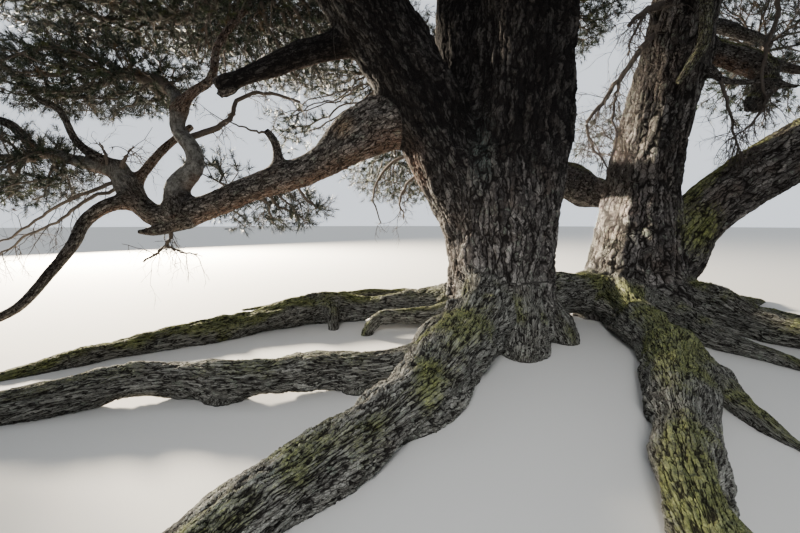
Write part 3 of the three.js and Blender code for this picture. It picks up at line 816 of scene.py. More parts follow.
GRAINS = np.array([grain_of(limb.name) for limb in limbs])
points = coordinates(wood)
gap, way, which, place, radius, share = strongest_two(points)
points -= way * np.clip(gap, -FURTHEST_PULL, FURTHEST_PULL)[:, None]
rooted = np.array([limb.name in ROOTS for limb in limbs], float)
coarse = np.array([limb.name in RIGHT_STEMS for limb in limbs], float)
second = 0.5 * ramp(share, 0.0, 0.5)
on_root = rooted[which[0]] * (1 - second) + rooted[which[1]] * second
relief = np.zeros(len(points))
for layer, weight in ((1, second), (0, 1 - second)):
    closer, per_metre, least, greatest = GRAINS[which[layer]].T
    wide = 1 + 0.7 * rooted[which[layer]] - LARGER_PLATES * coarse[which[layer]]
    stretch = np.stack([wide, wide, closer * np.minimum(wide, 1)], axis=1)
    set_vectors(wood, "grain", place[layer] * stretch)
    bark_fields(wood)
    furrow, split, tone = read(wood, "furrow"), read(wood, "split"), read(wood, "tone")
    height = 0.45 * (tone - 0.5) - furrow - (0.35 - 0.2 * on_root) * split * (1 - furrow)
    height += 0.10 * cloud(place[layer] * 3.1, 21)
    swelling = 0.10 * cloud(place[layer] * (0.30, 0.30, 0.09), 61)
    swelling += 0.05 * cloud(place[layer] * (0.75, 0.75, 0.22), 62)
    thick = np.minimum(radius[layer], THICKEST)
    depth = np.clip(per_metre * radius[layer], least, greatest)
    relief += weight * (height * depth + swelling * thick * (1 + on_root))
for name in ("furrow", "split", "tone"):
    wood.data.attributes.remove(wood.data.attributes[name])
thick = np.minimum(radius[0], THICKEST)
ground_line = ramp(0.16 - points[:, 2], 0, 0.16) * on_root
lump = cloud(points * 1.7, 63) * 0.06 + cloud(points * 4.5, 64) * 0.035
lump += on_root * (0.12 * cloud(points * 3.4, 65) + 0.07 * cloud(points * 8.0, 66))
lump += ground_line * 0.25 * cloud(points * 2.9, 67)
hollow = np.clip(1.2 - np.linalg.norm((points - HOLLOW_PLACE) / HOLLOW_REACH, axis=1), 0, 1)
points += way * (relief + lump * thick - HOLLOW_DEPTH * hollow)[:, None]
set_coordinates(wood, points)

# Where moss, lichen and rusty bark lie, and where shade is painted dark onto the trunk and stems
up = way[:, 2]
low = np.clip(1 - points[:, 2] / 0.9, 0, 1)
patches = cloud(points * 2.3, 71) * 0.6 + cloud(points * 6.5, 72) * 0.4


def spot_mark(place, reach):
    """How near a point is to the place, from 1 there to 0 at the reach along each axis."""
    gap = np.linalg.norm((points - place) / reach, axis=1)
    return np.clip(1.25 - gap + 0.25 * patches, 0, 1)


moss = ramp(up * 0.8 + patches * 0.85 + low * 0.40, 0.40, 1.45) * ramp(low, 0.02, 0.4)
moss *= 0.15 + 0.85 * on_root
moss *= 1 - 0.5 * on_limbs(("root_long_left",))
mossy_limbs = on_limbs(("stem_diagonal", "back_bough", "mossy_stub", "bare_limb"))
moss = np.maximum(moss, mossy_limbs * ramp(up + patches * 0.6, 0.15, 1.0) * 0.95)
moss = np.maximum(moss, on_limbs(("bare_limb",)) * (0.40 + 0.5 * patches))
moss = np.maximum(moss, spot_mark((2.62, 0.55, 1.15), (0.35, 0.5, 0.4)) * 0.9)
low_wood = on_limbs(LOW_BOUGHS)
rust = ramp(points[:, 2] + patches, 4.2, 7.0)
rust = np.maximum(rust, 0.30 * ramp(-up, 0.2, 0.9) * (low_wood - on_limbs(("back_bough",))))
rust = np.maximum(rust, 0.5 * spot_mark((-0.95, -0.15, 1.75), (0.16, 0.3, 0.35)))
rust = np.maximum(rust, 0.18 * on_limbs(("s_bough_upper", "cross_bough")))
scar = spot_mark((-1.69, -0.22, 2.19), (0.14, 0.22, 0.13))
lichen = spot_mark((-0.30, -0.45, 1.95), (0.13, 0.35, 0.42))
pale = on_limbs(SMOOTH_LIMBS) * ramp(points[:, 2] + 0.12 * patches, 1.42, 1.62) * (1 - share)
pale *= 1 - 0.8 * ramp(points[:, 2] + 0.15 * patches, 2.45, 2.75)
pale = np.maximum(pale, 0.9 * spot_mark((-4.32, 0.25, 1.74), (0.17, 0.3, 0.26)))
# Painted shade: the trunk and stems darken from about 0.9 m up, under the crown, fading out above 3.9 m, more
# on the side towards the eye and less on the right stem.
painted_shade = ramp(points[:, 2], 0.9, 2.2) * (1 - 0.8 * ramp(points[:, 2], 3.9, 5.5))
painted_shade *= 0.4 + 0.6 * ramp(-way[:, 1], -0.35, 0.25)
painted_shade *= on_limbs(("trunk", "stem_left", "stem_leader", "stem_middle", "stem_right", "burl", "broken_bough"))
painted_shade *= 1 - 0.55 * on_limbs(("stem_right",))
# The fork's hollow gets painted shade as well as its dent.
painted_shade = np.maximum(painted_shade, 1.1 * hollow)
marks = {
    "moss": moss, "rust": rust, "scar": scar, "lichen": lichen, "pale": pale, "painted_shade": painted_shade, "root": on_root,
}
for name, values in marks.items():
    store(wood, name, values)


class Paint(Nodes):
    """A material and its nodes."""

    def __init__(self, name, roughness, specular=0.3):
        self.made = bpy.data.materials.new(name)
        self.made.use_nodes = True
        super().__init__(self.made.node_tree)
        self.shader = self.nodes["Principled BSDF"]
        self.shader.inputs["Roughness"].default_value = roughness
        self.shader.inputs["Specular IOR Level"].default_value = specular

    def attribute(self, name, output="Fac"):
        return self.add("ShaderNodeAttribute", attribute_name=name).outputs[output]

    def mix(self, share, first, second, blend="MIX"):
        node = self.add("ShaderNodeMix", {0: share, 6: first, 7: second}, data_type="RGBA", blend_type=blend)
        return node.outputs[2]


def bark_paint():
    paint = Paint("bark", 0.9, 0.12)
    here = paint.add("ShaderNodeTexCoord").outputs["Object"]
    grain = paint.attribute("grain", "Vector")
    furrow, split, tone = bark_pattern(paint, grain)
    fibre = paint.noise(paint.vector("MULTIPLY", grain, (2.2, 2.2, 0.7)), 1.6, 4.0, 0.7)
    speckle = paint.noise(here, 55.0, 3.0, 0.7)
    uneven = paint.math("ADD", tone, paint.spread(fibre, 0.3, 0.7, -0.35, 0.35))
    shades = paint.add("ShaderNodeValToRGB", {"Fac": uneven})
    stops = shades.color_ramp.elements
    stops[0].position, stops[0].color = 0.10, (0.045, 0.040, 0.038, 1)
    stops[1].position, stops[1].color = 1.0, (0.330, 0.305, 0.285, 1)
    stops.new(0.5).color = (0.110, 0.100, 0.094, 1)
    colour = shades.outputs["Color"]
    blotch = paint.noise(here, 3.1, 2.0)
    colour = paint.mix(paint.spread(blotch, 0.5, 0.66, 0, 0.5), colour, (0.19, 0.15, 0.125, 1))
    mottle = paint.spread(paint.noise(here, 17.0, 3.0, 0.7), 0.35, 0.62)
    pale = paint.mix(mottle, (0.070, 0.066, 0.063, 1), (0.26, 0.26, 0.255, 1))
    colour = paint.mix(paint.attribute("pale"), colour, pale)
    rust = paint.mix(paint.spread(speckle, 0.3, 0.7), (0.17, 0.065, 0.03, 1), (0.42, 0.19, 0.09, 1))
    colour = paint.mix(paint.attribute("rust"), colour, rust)
    scar = paint.mix(speckle, (0.12, 0.08, 0.05, 1), (0.42, 0.31, 0.20, 1))
    colour = paint.mix(paint.math("MULTIPLY", paint.attribute("scar"), 0.8), colour, scar)
    worn = paint.spread(paint.math("ADD", fibre, paint.spread(tone, 0, 1, -0.2, 0.2)), 0.3, 0.7)
    grey_root = paint.mix(worn, (0.040, 0.036, 0.030, 1), (0.43, 0.43, 0.38, 1))
    colour = paint.mix(paint.math("MULTIPLY", paint.attribute("root"), 0.8), colour, grey_root)
    spots = paint.spread(paint.noise(here, 13.0, 4.0, 0.75), 0.56, 0.66, 0, 0.6)
    on_plates = paint.math("MULTIPLY", spots, paint.spread(furrow, 0, 0.4, 1, 0))
    colour = paint.mix(on_plates, colour, (0.26, 0.30, 0.24, 1))
    blue = paint.math("MULTIPLY", paint.attribute("lichen"), paint.spread(speckle, 0.4, 0.6))
    colour = paint.mix(paint.math("MULTIPLY", blue, 0.7), colour, (0.15, 0.27, 0.24, 1))
    moss_edge = paint.math("ADD", paint.attribute("moss"), paint.spread(fibre, 0.3, 0.7, -0.45, 0.45))
    moss_mix = paint.noise(here, 24.0, 3.0, 0.7)
    moss = paint.mix(paint.spread(moss_mix, 0.32, 0.68), (0.035, 0.050, 0.016, 1), (0.36, 0.39, 0.12, 1))
    colour = paint.mix(paint.spread(moss_edge, 0.30, 0.85, 0, 0.8), colour, moss)
    hairline = paint.spread(paint.border(paint.vector("MULTIPLY", grain, (1, 1, 0.6)), 3.3), 0.0, 0.10)
    colour = paint.mix(paint.spread(hairline, 0, 1, 0.5, 0.0), colour, (0.02, 0.017, 0.014, 1))
    deep = paint.spread(furrow, 0.05, 0.75, 0, 0.95)
    thin_split = paint.math("MULTIPLY", split, paint.spread(paint.attribute("root"), 0, 1, 0.8, 0.25))
    deep = paint.math("MAXIMUM", deep, thin_split)
    fade = paint.math("MULTIPLY", paint.attribute("pale"), 0.75)
    deep = paint.math("MULTIPLY", deep, paint.math("SUBTRACT", 1.0, fade))
    colour = paint.mix(deep, colour, (0.010, 0.008, 0.007, 1))
    # Painted shade: where this mark says, the bark turns near-black, and the brighter plates keep a little
    # more of their colour.
    kept_light = paint.spread(paint.math("ADD", tone, fibre), 0.75, 1.3, 0.985, 0.78)
    darkened = paint.math("MULTIPLY", paint.attribute("painted_shade"), kept_light, True)
    colour = paint.mix(darkened, colour, (0.006, 0.005, 0.005, 1))
    paint.links.new(colour, paint.shader.inputs["Base Color"])
    cracks = {"Strength": 0.9, "Distance": 0.006, "Height": paint.math("SUBTRACT", hairline, deep)}
    cracked = paint.add("ShaderNodeBump", cracks).outputs["Normal"]
    rough = paint.math("ADD", speckle, fibre)
    fine = {"Strength": 0.7, "Distance": 0.006, "Height": rough, "Normal": cracked}
    paint.links.new(paint.add("ShaderNodeBump", fine).outputs["Normal"], paint.shader.inputs["Normal"])
    return paint.made


wood.data.materials.append(bark_paint())

# The wood in pieces
# The body is cut flat at the ground and parted by level and upright planes into pieces of a
# handy size, each closed by the flat cuts. The normals are kept, so the joins don't show.
GROUND = 0.0
CROWN_CUT = 4.3
ROOT_CUT = 0.62
RIGHT_CUT = 1.25
LOW_BOUGH_CUT = -1.75
PALE_CUT = -3.15
BACK_CUT = -1.2
LEFT_CUT = 0.45
CROWN_RIGHT_CUT = 1.6
BLOCK = 60.0
X, Y, Z = 0, 1, 2
CUTS = [
    (Z, GROUND), (Z, CROWN_CUT), (Z, ROOT_CUT), (X, RIGHT_CUT), (X, LOW_BOUGH_CUT), (X, PALE_CUT),
    (Y, BACK_CUT), (X, LEFT_CUT), (X, CROWN_RIGHT_CUT),
]


def cut(piece, axis, at, side):
    """Takes away what lies on one side of the plane across the axis, by cutting with a block."""
    place = [0, 0, 0]
    place[axis] = at + side * BLOCK / 2
    bpy.ops.mesh.primitive_cube_add(size=BLOCK, location=place)
    block = bpy.context.object
    only(piece)
    trim = piece.modifiers.new("trim", "BOOLEAN")
    trim.operation, trim.solver, trim.object = "DIFFERENCE", "MANIFOLD", block
    bpy.ops.object.modifier_apply(modifier=trim.name)
    bpy.data.objects.remove(block)


def part_off(piece, name, axis, at):
    """Splits off, as a new piece, what lies beyond the plane across the axis."""
    other = piece.copy()
    other.data = piece.data.copy()
    other.name = other.data.name = name
    bpy.context.scene.collection.objects.link(other)
    cut(other, axis, at, -1)
    cut(piece, axis, at, 1)
    return other


wood.data.update()
normals = np.empty(len(wood.data.vertices) * 3, np.float32)
wood.data.vertex_normals.foreach_get("vector", normals)
store(wood, "out", normals, "FLOAT_VECTOR")
cut(wood, Z, GROUND, -1)
crown = part_off(wood, "crown_limbs", Z, CROWN_CUT)
crown_right = part_off(crown, "crown_limbs_right", X, CROWN_RIGHT_CUT)
pale_boughs = part_off(wood, "pale_boughs", Z, ROOT_CUT)
right = part_off(pale_boughs, "right_stems", X, RIGHT_CUT)
trunk = part_off(pale_boughs, "trunk_and_stems", X, LOW_BOUGH_CUT)
low_boughs = part_off(pale_boughs, "low_boughs", X, PALE_CUT)
roots_left = wood
roots_left.name = "roots_left"
roots_right = part_off(roots_left, "roots_right", X, LEFT_CUT)
roots_far = part_off(roots_left, "roots_far", Y, BACK_CUT)
WOOD_PIECES = {
    "root_bark": {
        roots_left: ["root_front_left", "root_long_left"],
        roots_far: ["root_far_left", "root_thin_far", "root_back"],
        roots_right: ["root_right_front", "root_right_low", "root_right", "root_east"],
    },
    "trunk_bark": {
        trunk: ["trunk", "stem_left", "stem_leader", "stem_middle"],
        right: ["stem_right", "stem_diagonal", "back_bough", "mossy_stub"],
    },
    "bough_bark": {low_boughs: ["low_bough", "broken_bough"]},
    "pale_bark": {pale_boughs: ["s_bough", "west_bough", "hanging_bough"]},
    "high_bark": {
        crown: [name for name, rule in HIGH_BOUGHS.items() if rule[0] not in RIGHT_STEMS],
        crown_right: [name for name, rule in HIGH_BOUGHS.items() if rule[0] in RIGHT_STEMS],
    },
}
for finish, made in WOOD_PIECES.items():
    for piece, nodes in made.items():
        mesh = piece.data
        mesh.polygons.foreach_set("use_smooth", np.ones(len(mesh.polygons), bool))
        out = np.empty(len(mesh.vertices) * 3, np.float32)
        mesh.attributes["out"].data.foreach_get("vector", out)
        corner = np.empty(len(mesh.loops), np.int32)
        mesh.loops.foreach_get("vertex_index", corner)
        turned = out.reshape(-1, 3)[corner]
        middle, facing = face_values(mesh, "center", 3), face_values(mesh, "normal", 3)
        sizes = face_values(mesh, "loop_total", 1).astype(int)[:, 0]
        flat = np.zeros(len(mesh.polygons), bool)
        for axis, at in CUTS:
            flat |= (np.abs(middle[:, axis] - at) < 1e-4) & (np.abs(facing[:, axis]) > 0.999)
        turned = np.where(np.repeat(flat, sizes)[:, None], np.repeat(facing, sizes, axis=0), turned)
        mesh.normals_split_custom_set(turned.tolist())
        mesh.attributes.remove(mesh.attributes["out"])
        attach(piece, "root")
        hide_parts(*nodes)

# Needle masses
# Each mass is filled by boughs that fork again and again towards shoots spread through it. The
# boughs start from the limb that carries the mass and thin out by the pipe rule, and each shoot
# ends in a spray of paired needles.
STEP = 0.12
MOST_STEPS = 90
ROOM_FOR_STEPS = 16000
ROOM_LEFT = 3000
TRIES = 12
TWIG_RADIUS = 0.0030
PIPE_POWER = 2.35
EDGE_ROOM = 0.16
OVERHANG = 0.14
FAR_OVERHANG = 0.34

# For each mass: the limb that carries it, from what share of its length, how many shoots it has,
# how much larger than the near ones they are, and how far its boughs turn up or hang
MASSES = {
    "foliage_west_roof": ("bough_west_roof", 0.62, 5100, 1.08, 0.04),
    "foliage_west_inner": ("bough_west_roof", 0.25, 2300, 1.0, 0.0),
    "foliage_west_mid": ("s_bough", 0.72, 2300, 1.0, 0.02),
    "foliage_west_low": ("west_bough", 0.6, 1500, 1.0, -0.02),
    "foliage_under_bough": ("low_bough", 0.36, 600, 1.0, -0.25),
    "foliage_front_low": ("hanging_bough", 0.75, 350, 1.0, -0.15),
    "foliage_back_hang": ("bough_back_left", 0.55, 1500, 1.1, -0.25),
    "foliage_back_left": ("bough_back_left", 0.7, 2900, 1.15, 0.04),
    "foliage_back_middle": ("bough_back_middle", 0.7, 2000, 1.3, 0.04),
    "foliage_back_right": ("bough_back_right", 0.7, 1400, 1.2, 0.04),
    "foliage_back_low": ("back_bough", 0.8, 450, 1.2, 0.0),
    "foliage_front_west": ("bough_front_west", 0.65, 700, 1.95, 0.06),
    "foliage_front": ("bough_front", 0.7, 700, 1.95, 0.06),
    "foliage_front_right": ("bough_front_right", 0.7, 700, 1.95, 0.06),
    "foliage_east_low": ("bough_east_low", 0.65, 800, 1.4, 0.04),
    "foliage_east_top": ("stem_diagonal", 0.84, 900, 1.5, 0.06),
    "foliage_middle_southwest": ("bough_middle_southwest", 0.6, 680, 1.95, 0.06),
    "foliage_middle_northwest": ("bough_middle_northwest", 0.6, 700, 1.95, 0.06),
    "foliage_middle_south": ("bough_middle_south", 0.6, 680, 1.95, 0.06),
    "foliage_middle_east": ("bough_middle_east", 0.6, 680, 1.95, 0.06),
    "foliage_middle_north": ("bough_middle_north", 0.6, 700, 1.95, 0.06),
    "foliage_top_left": ("stem_left", 0.85, 800, 1.95, 0.08),
    "foliage_top_middle": ("stem_middle", 0.85, 720, 1.95, 0.08),
    "foliage_top_leader": ("stem_leader", 0.86, 820, 1.95, 0.08),
    "foliage_top_right": ("stem_right", 0.88, 800, 1.95, 0.08),
}
INNER_MASSES = ("foliage_under_bough", "foliage_west_inner", "foliage_back_hang")
SEEDS_INSIDE = 8
# Loose sprays that hang below a mass: where, how far they reach and how many shoots they have
HANGING = {
    "foliage_under_bough": ((-3.38, 0.62, 1.90), (0.36, 0.25, 0.22), 110),
    "foliage_back_left": ((-2.80, 2.50, 2.86), (0.55, 0.5, 0.45), 200),
    "foliage_back_right": ((4.25, 1.80, 3.20), (0.75, 0.5, 0.50), 320),
}
box_low, box_high = np.array(cad_box[0]), np.array(cad_box[1])


def spots_in(node, count, larger, rng):
    """Places for shoots in the mass, most of them near its skin, none close together."""
    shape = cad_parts[node].data
    tree = BVHTree.FromPolygons([v.co for v in shape.vertices], [p.vertices for p in shape.polygons])
    middle, reach = mass_middle(node)
    skin = 0.30 * float(np.cbrt(reach.prod()))
    spots, depths = [], []
    overhang = OVERHANG if larger < 1.4 else FAR_OVERHANG
    tried = rng.uniform(-1, 1, (count * TRIES, 3)) * (reach + overhang) + middle
    tried = tried[np.all((tried > box_low + EDGE_ROOM) & (tried < box_high - EDGE_ROOM), axis=1)]
    for place in tried:
        found, normal, _, distance = tree.find_nearest(place)
        inside = (Vector(place) - found).dot(normal) < 0
        if inside or distance < overhang * rng.random():
            spots.append(place)
            depths.append(distance if inside else 0)
    spots, depths = np.array(spots), np.array(depths)
    high = (spots[:, 2] - middle[2]) / reach[2]
    keep = rng.random(len(spots)) < np.where(depths < skin, 1.0, 0.25) * np.clip(0.75 + 0.35 * high, 0.3, 1)
    spots = spots[keep]
    gap = 0.04
    while len(spots) > count:
        cell = np.floor(spots / gap).astype(int)
        _, first = np.unique(cell, axis=0, return_index=True)
        spots = spots[np.sort(first)]
        gap *= 1.03
    if node in HANGING:
        place, size, shoots = HANGING[node]
        loose = rng.normal(0, 0.5, (shoots, 3)).clip(-1, 1) * size + place
        spots = np.concatenate([spots, loose])
    return spots, middle, reach


def grow(seeds, goals, lean, rng):
    """Boughs that grow from the seeds step by step, each tip towards the goals that are nearest to it."""
    room = len(seeds) + ROOM_FOR_STEPS
    place = np.zeros((room, 3), np.float32)
    parent = np.full(room, -1)
    place[:len(seeds)] = seeds
    used = len(seeds)
    parent[1:used] = np.arange(used - 1)
    goals = goals.astype(np.float32)
    gap = np.linalg.norm(goals[:, None] - place[None, :used], axis=2)
    nearest, distance = gap.argmin(1), gap.min(1)
    shoot_from = np.full(len(goals), -1)
    waiting = np.ones(len(goals), bool)
    for _ in range(MOST_STEPS):
        reached = waiting & (distance < STEP * 1.05)
        shoot_from[reached] = nearest[reached]
        waiting &= ~reached
        if not waiting.any() or used > room - ROOM_LEFT:
            break
        tips, which = np.unique(nearest[waiting], return_inverse=True)
        pull = goals[waiting] - place[nearest[waiting]]
        pull /= np.linalg.norm(pull, axis=1, keepdims=True)
        heading = np.zeros((len(tips), 3))
        np.add.at(heading, which, pull)
        heading /= np.maximum(np.linalg.norm(heading, axis=1, keepdims=True), 1e-6)
        heading += rng.normal(0, 0.24, heading.shape) + (0, 0, lean)
        heading /= np.linalg.norm(heading, axis=1, keepdims=True)
        new = (place[tips] + heading * STEP).astype(np.float32)
        place[used:used + len(tips)] = new
        parent[used:used + len(tips)] = tips
        index = np.where(waiting)[0]
        goal = goals[index]
        square = (goal * goal).sum(1)[:, None] + (new * new).sum(1)[None] - 2 * goal @ new.T
        at = square.argmin(1)
        close = np.sqrt(np.maximum(square[np.arange(len(index)), at], 0))
        better = close < distance[index]
        distance[index[better]] = close[better]
        nearest[index[better]] = used + at[better]
        stuck = ~better & (rng.random(len(index)) < 0.25)
        waiting[index[stuck]] &= distance[index[stuck]] > STEP * 2
        used += len(tips)
    return place[:used].astype(float), parent[:used], shoot_from


class Strips:
    """Closed tapering tubes and cones gathered for one mesh."""

    def __init__(self):
        self.points, self.faces, self.start = [], {}, 0

    def keep(self, points, faces):
        for rows in faces:
            self.faces.setdefault(rows.shape[1], []).append(rows + self.start)
        self.points.append(points)
        self.start += len(points)

    def tube(self, course, radii, sides):
        course = np.asarray(course)
        tangent = np.gradient(course, axis=0)
        tangent /= np.maximum(np.linalg.norm(tangent, axis=1, keepdims=True), 1e-9)
        side = np.cross(tangent, (0.31, 0.17, 0.93))
        side /= np.maximum(np.linalg.norm(side, axis=1, keepdims=True), 1e-6)
        across = np.cross(tangent, side)
        turn = np.linspace(0, 2 * math.pi, sides, endpoint=False)
        ring = np.cos(turn)[None, :, None] * side[:, None] + np.sin(turn)[None, :, None] * across[:, None]
        points = course[:, None] + ring * np.asarray(radii)[:, None, None]
        lower = np.arange((len(course) - 1) * sides)
        following = lower - lower % sides + (lower + 1) % sides
        walls = np.stack([lower, following, following + sides, lower + sides], axis=1)
        foot = np.arange(sides)[::-1][None]
        tip = (np.arange(sides) + (len(course) - 1) * sides)[None]
        self.keep(points.reshape(-1, 3), [walls, foot, tip])

    def cones(self, foot, axis, length, radius):
        """Three-sided cones, one for each foot, with their bases closed."""
        side = np.cross(axis, (0.31, 0.17, 0.93))
        side /= np.linalg.norm(side, axis=1, keepdims=True)
        across = np.cross(axis, side)
        turn = np.array((0, 2, 4)) * math.pi / 3
        ring = np.cos(turn)[None, :, None] * side[:, None] + np.sin(turn)[None, :, None] * across[:, None]
        tip = foot + axis * length[:, None]
        points = np.concatenate([foot[:, None] + ring * radius, tip[:, None]], axis=1)
        corner = np.arange(len(foot))[:, None, None] * 4
        rows = corner + np.array([(0, 1, 3), (1, 2, 3), (2, 0, 3), (2, 1, 0)])
        self.keep(points.reshape(-1, 3), [rows.reshape(-1, 3)])


def bough_tubes(strips, place, parent, shoot_from):
    """The grown boughs as tubes, each as thick as the shoots beyond it need."""
    total = np.zeros(len(place))
    np.add.at(total, shoot_from[shoot_from >= 0], 1.0)
    for i in range(len(place) - 1, 0, -1):
        total[parent[i]] += total[i]
    children = [[] for _ in place]
    for i in range(1, len(place)):
        if total[i] > 0:
            children[parent[i]].append(i)
    radius = TWIG_RADIUS * np.maximum(total, 1) ** (1 / PIPE_POWER)
    stack = [(0, None)]
    while stack:
        at, came_from = stack.pop()
        chain = [at] if came_from is None else [came_from, at]
        while children[chain[-1]]:
            kids = sorted(children[chain[-1]], key=lambda kid: -total[kid])
            stack += [(other, chain[-1]) for other in kids[1:]]
            chain.append(kids[0])
        if len(chain) < 2:
            continue
        inner = [c for n, c in enumerate(chain[1:-1], 1) if n % 2 == 0 or radius[c] > 0.012]
        kept = chain[:1] + inner + chain[-1:]
        radii = radius[kept].copy()
        radii[0] = min(radii[0], radii[1] * 1.25)
        radii[-1] *= 0.6
        widest = radii.max()
        sides = 7 if widest > 0.03 else 5 if widest > 0.013 else 4 if widest > 0.007 else 3
        strips.tube(place[kept], radii, sides)
    return radius


PAIRS = 14
NEEDLE_LENGTH = 0.070
NEEDLE_WIDTH = 0.0056
SHOOT_LENGTH = 0.105
GOLDEN_TURN = math.pi * (3 - math.sqrt(5))


def needle_sprays(foot, axis, scale, rng):
    """Paired needles round each shoot, four corners to a pair."""
    count = len(foot)
    side = np.cross(axis, rng.normal(size=(count, 3)))
    side /= np.linalg.norm(side, axis=1, keepdims=True)
    across = np.cross(axis, side)
    step = np.arange(PAIRS)
    share = 0.15 + 0.85 * (step + 0.5) / PAIRS
    turn = GOLDEN_TURN * step[None] + rng.uniform(0, 6.28, (count, 1)) + rng.normal(0, 0.3, (count, PAIRS))
    open_angle = np.radians(62 - 34 * share[None] ** 2 + rng.normal(0, 7, (count, PAIRS)))
    out = np.cos(turn)[..., None] * side[:, None] + np.sin(turn)[..., None] * across[:, None]
    base = foot[:, None] + axis[:, None] * (share[None, :, None] * (SHOOT_LENGTH * scale)[:, None, None])
    length = (NEEDLE_LENGTH * scale)[:, None] * rng.uniform(0.82, 1.15, (count, PAIRS))
    around = np.cross(axis[:, None], out)
    way = np.cos(open_angle)[..., None] * axis[:, None] + np.sin(open_angle)[..., None] * out
    splay = np.radians(rng.uniform(5, 11, (count, PAIRS)))[..., None]
    tip_a = base + (way + around * splay) * length[..., None]
    tip_b = base + (way - around * splay) * length[..., None]
    half = around * (NEEDLE_WIDTH / 2 * scale ** 1.7)[:, None, None]
    return np.stack([base - half, base + half, tip_a, tip_b], axis=2)


NEEDLE_TINTS = {
    "needles_dark": ((0.006, 0.011, 0.006, 1), 0.46),
    "needles_green": ((0.014, 0.025, 0.010, 1), 0.30),
    "needles_blue": ((0.016, 0.029, 0.020, 1), 0.14),
    "needles_yellow": ((0.045, 0.056, 0.016, 1), 0.07),
    "needles_brown": ((0.065, 0.040, 0.017, 1), 0.03),
}


def needle_paint(name, colour):
    paint = Paint(name, 0.5)
    paint.shader.inputs["Base Color"].default_value = colour
    return paint.made


needle_paints = [needle_paint(name, colour) for name, (colour, _) in NEEDLE_TINTS.items()]
tint_shares = [share for _, share in NEEDLE_TINTS.values()]


def twig_paint():
    paint = Paint("twig_bark", 0.85)
    here = paint.add("ShaderNodeTexCoord").outputs["Object"]
    grit = paint.noise(here, 60.0, 2.0)
    high = paint.spread(paint.add("ShaderNodeSeparateXYZ", {"Vector": here}).outputs["Z"], 4.2, 7.0)
    low_colour = paint.mix(grit, (0.025, 0.020, 0.018, 1), (0.12, 0.10, 0.085, 1))
    high_colour = paint.mix(grit, (0.07, 0.036, 0.020, 1), (0.20, 0.115, 0.065, 1))
    paint.links.new(paint.mix(high, low_colour, high_colour), paint.shader.inputs["Base Color"])
    return paint.made


twig_bark = twig_paint()


def quick_mesh(name, points, faces, paints, face_paint=None, smooth=True):
    """One mesh from arrays; faces holds arrays of rows, each array with rows of one length."""
    mesh = bpy.data.meshes.new(name)
    mesh.vertices.add(len(points))
    mesh.vertices.foreach_set("co", np.asarray(points, np.float32).ravel())
    corners = np.concatenate([rows.ravel() for rows in faces])
    sizes = np.concatenate([np.full(len(rows), rows.shape[1]) for rows in faces])
    mesh.loops.add(len(corners))
    mesh.loops.foreach_set("vertex_index", corners.astype(np.int32))
    mesh.polygons.add(len(sizes))
    mesh.polygons.foreach_set("loop_start", (np.cumsum(sizes) - sizes).astype(np.int32))
    mesh.polygons.foreach_set("use_smooth", np.full(len(sizes), smooth))
    for paint in paints:
        mesh.materials.append(paint)
    if face_paint is not None:
        mesh.polygons.foreach_set("material_index", np.asarray(face_paint, np.int32))
    mesh.update(calc_edges=True)
    made = bpy.data.objects.new(name, mesh)
    bpy.context.scene.collection.objects.link(made)
    return made


REGIONS = {
    "west_roof": ("west_roof",),
    "west_low": ("west_inner", "west_mid", "west_low", "under_bough", "front_low"),
    "back": ("back_hang", "back_left", "back_low"),
    "right": ("back_middle", "back_right", "east_low", "east_top"),
    "front": ("front_west", "front", "front_right"),
    "middle": ("middle_southwest", "middle_northwest", "middle_south", "middle_east", "middle_north"),
    "top": ("top_left", "top_middle", "top_leader", "top_right"),
}
limb_named = {limb.name: limb for limb in limbs}
skeletons = {}

for region, short_names in REGIONS.items():
    strips = Strips()
    sprays, tints = [], []
    nodes = ["foliage_" + short for short in short_names]
    for node in nodes:
        rng = np.random.default_rng(sum(map(ord, node)))
        carrier, share, count, larger, lean = MASSES[node]
        goals, middle, reach = spots_in(node, count, larger, rng)
        limb = limb_named[carrier]
        seeds = limb.centre[int(share * (len(limb.centre) - 1))::2]
        if node in INNER_MASSES:
            seeds = seeds[:SEEDS_INSIDE]
        place, parent, shoot_from = grow(seeds, goals, lean, rng)
        skeletons[node] = place, bough_tubes(strips, place, parent, shoot_from)
        live = shoot_from >= 0
        foot = place[shoot_from[live]]
        goal = goals[live]
        ahead = goal - foot
        ahead /= np.maximum(np.linalg.norm(ahead, axis=1, keepdims=True), 1e-6)
        outward = (goal - middle) / reach
        outward /= np.maximum(np.linalg.norm(outward, axis=1, keepdims=True), 1e-6)
        axis = ahead * 0.8 + outward * 0.45 + (0, 0, 0.30 + min(lean, 0))
        axis /= np.linalg.norm(axis, axis=1, keepdims=True)
        scale = rng.uniform(0.88, 1.15, len(foot)) * larger
        sprays.append(needle_sprays(foot, axis, scale, rng))
        tints.append(rng.choice(len(needle_paints), len(foot), p=tint_shares))
        strips.cones(foot, axis, SHOOT_LENGTH * scale, TWIG_RADIUS)
    needles = np.concatenate(sprays)
    corner = np.arange(needles.shape[0] * PAIRS)[:, None] * 4
    faces = np.stack([corner + (0, 1, 2), corner + (1, 0, 3)], axis=1).reshape(-1, 3)
    face_paint = np.repeat(np.concatenate(tints), PAIRS * 2)
    tufts = quick_mesh("needles_" + region, needles.reshape(-1, 3), [faces], needle_paints, face_paint, False)
    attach(tufts, "root")
    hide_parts(*nodes)
    rows = [np.concatenate(rows) for rows in strips.faces.values()]
    twigs = quick_mesh("twigs_" + region, np.concatenate(strips.points), rows, [twig_bark])
    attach(twigs, "root")

# Dead twigs
# Bare grey twigs stay on the shaded insides of the crown for years. They droop in crooked fans
# from the boughs that carry needles further out.
DEAD_RADIUS = 0.005


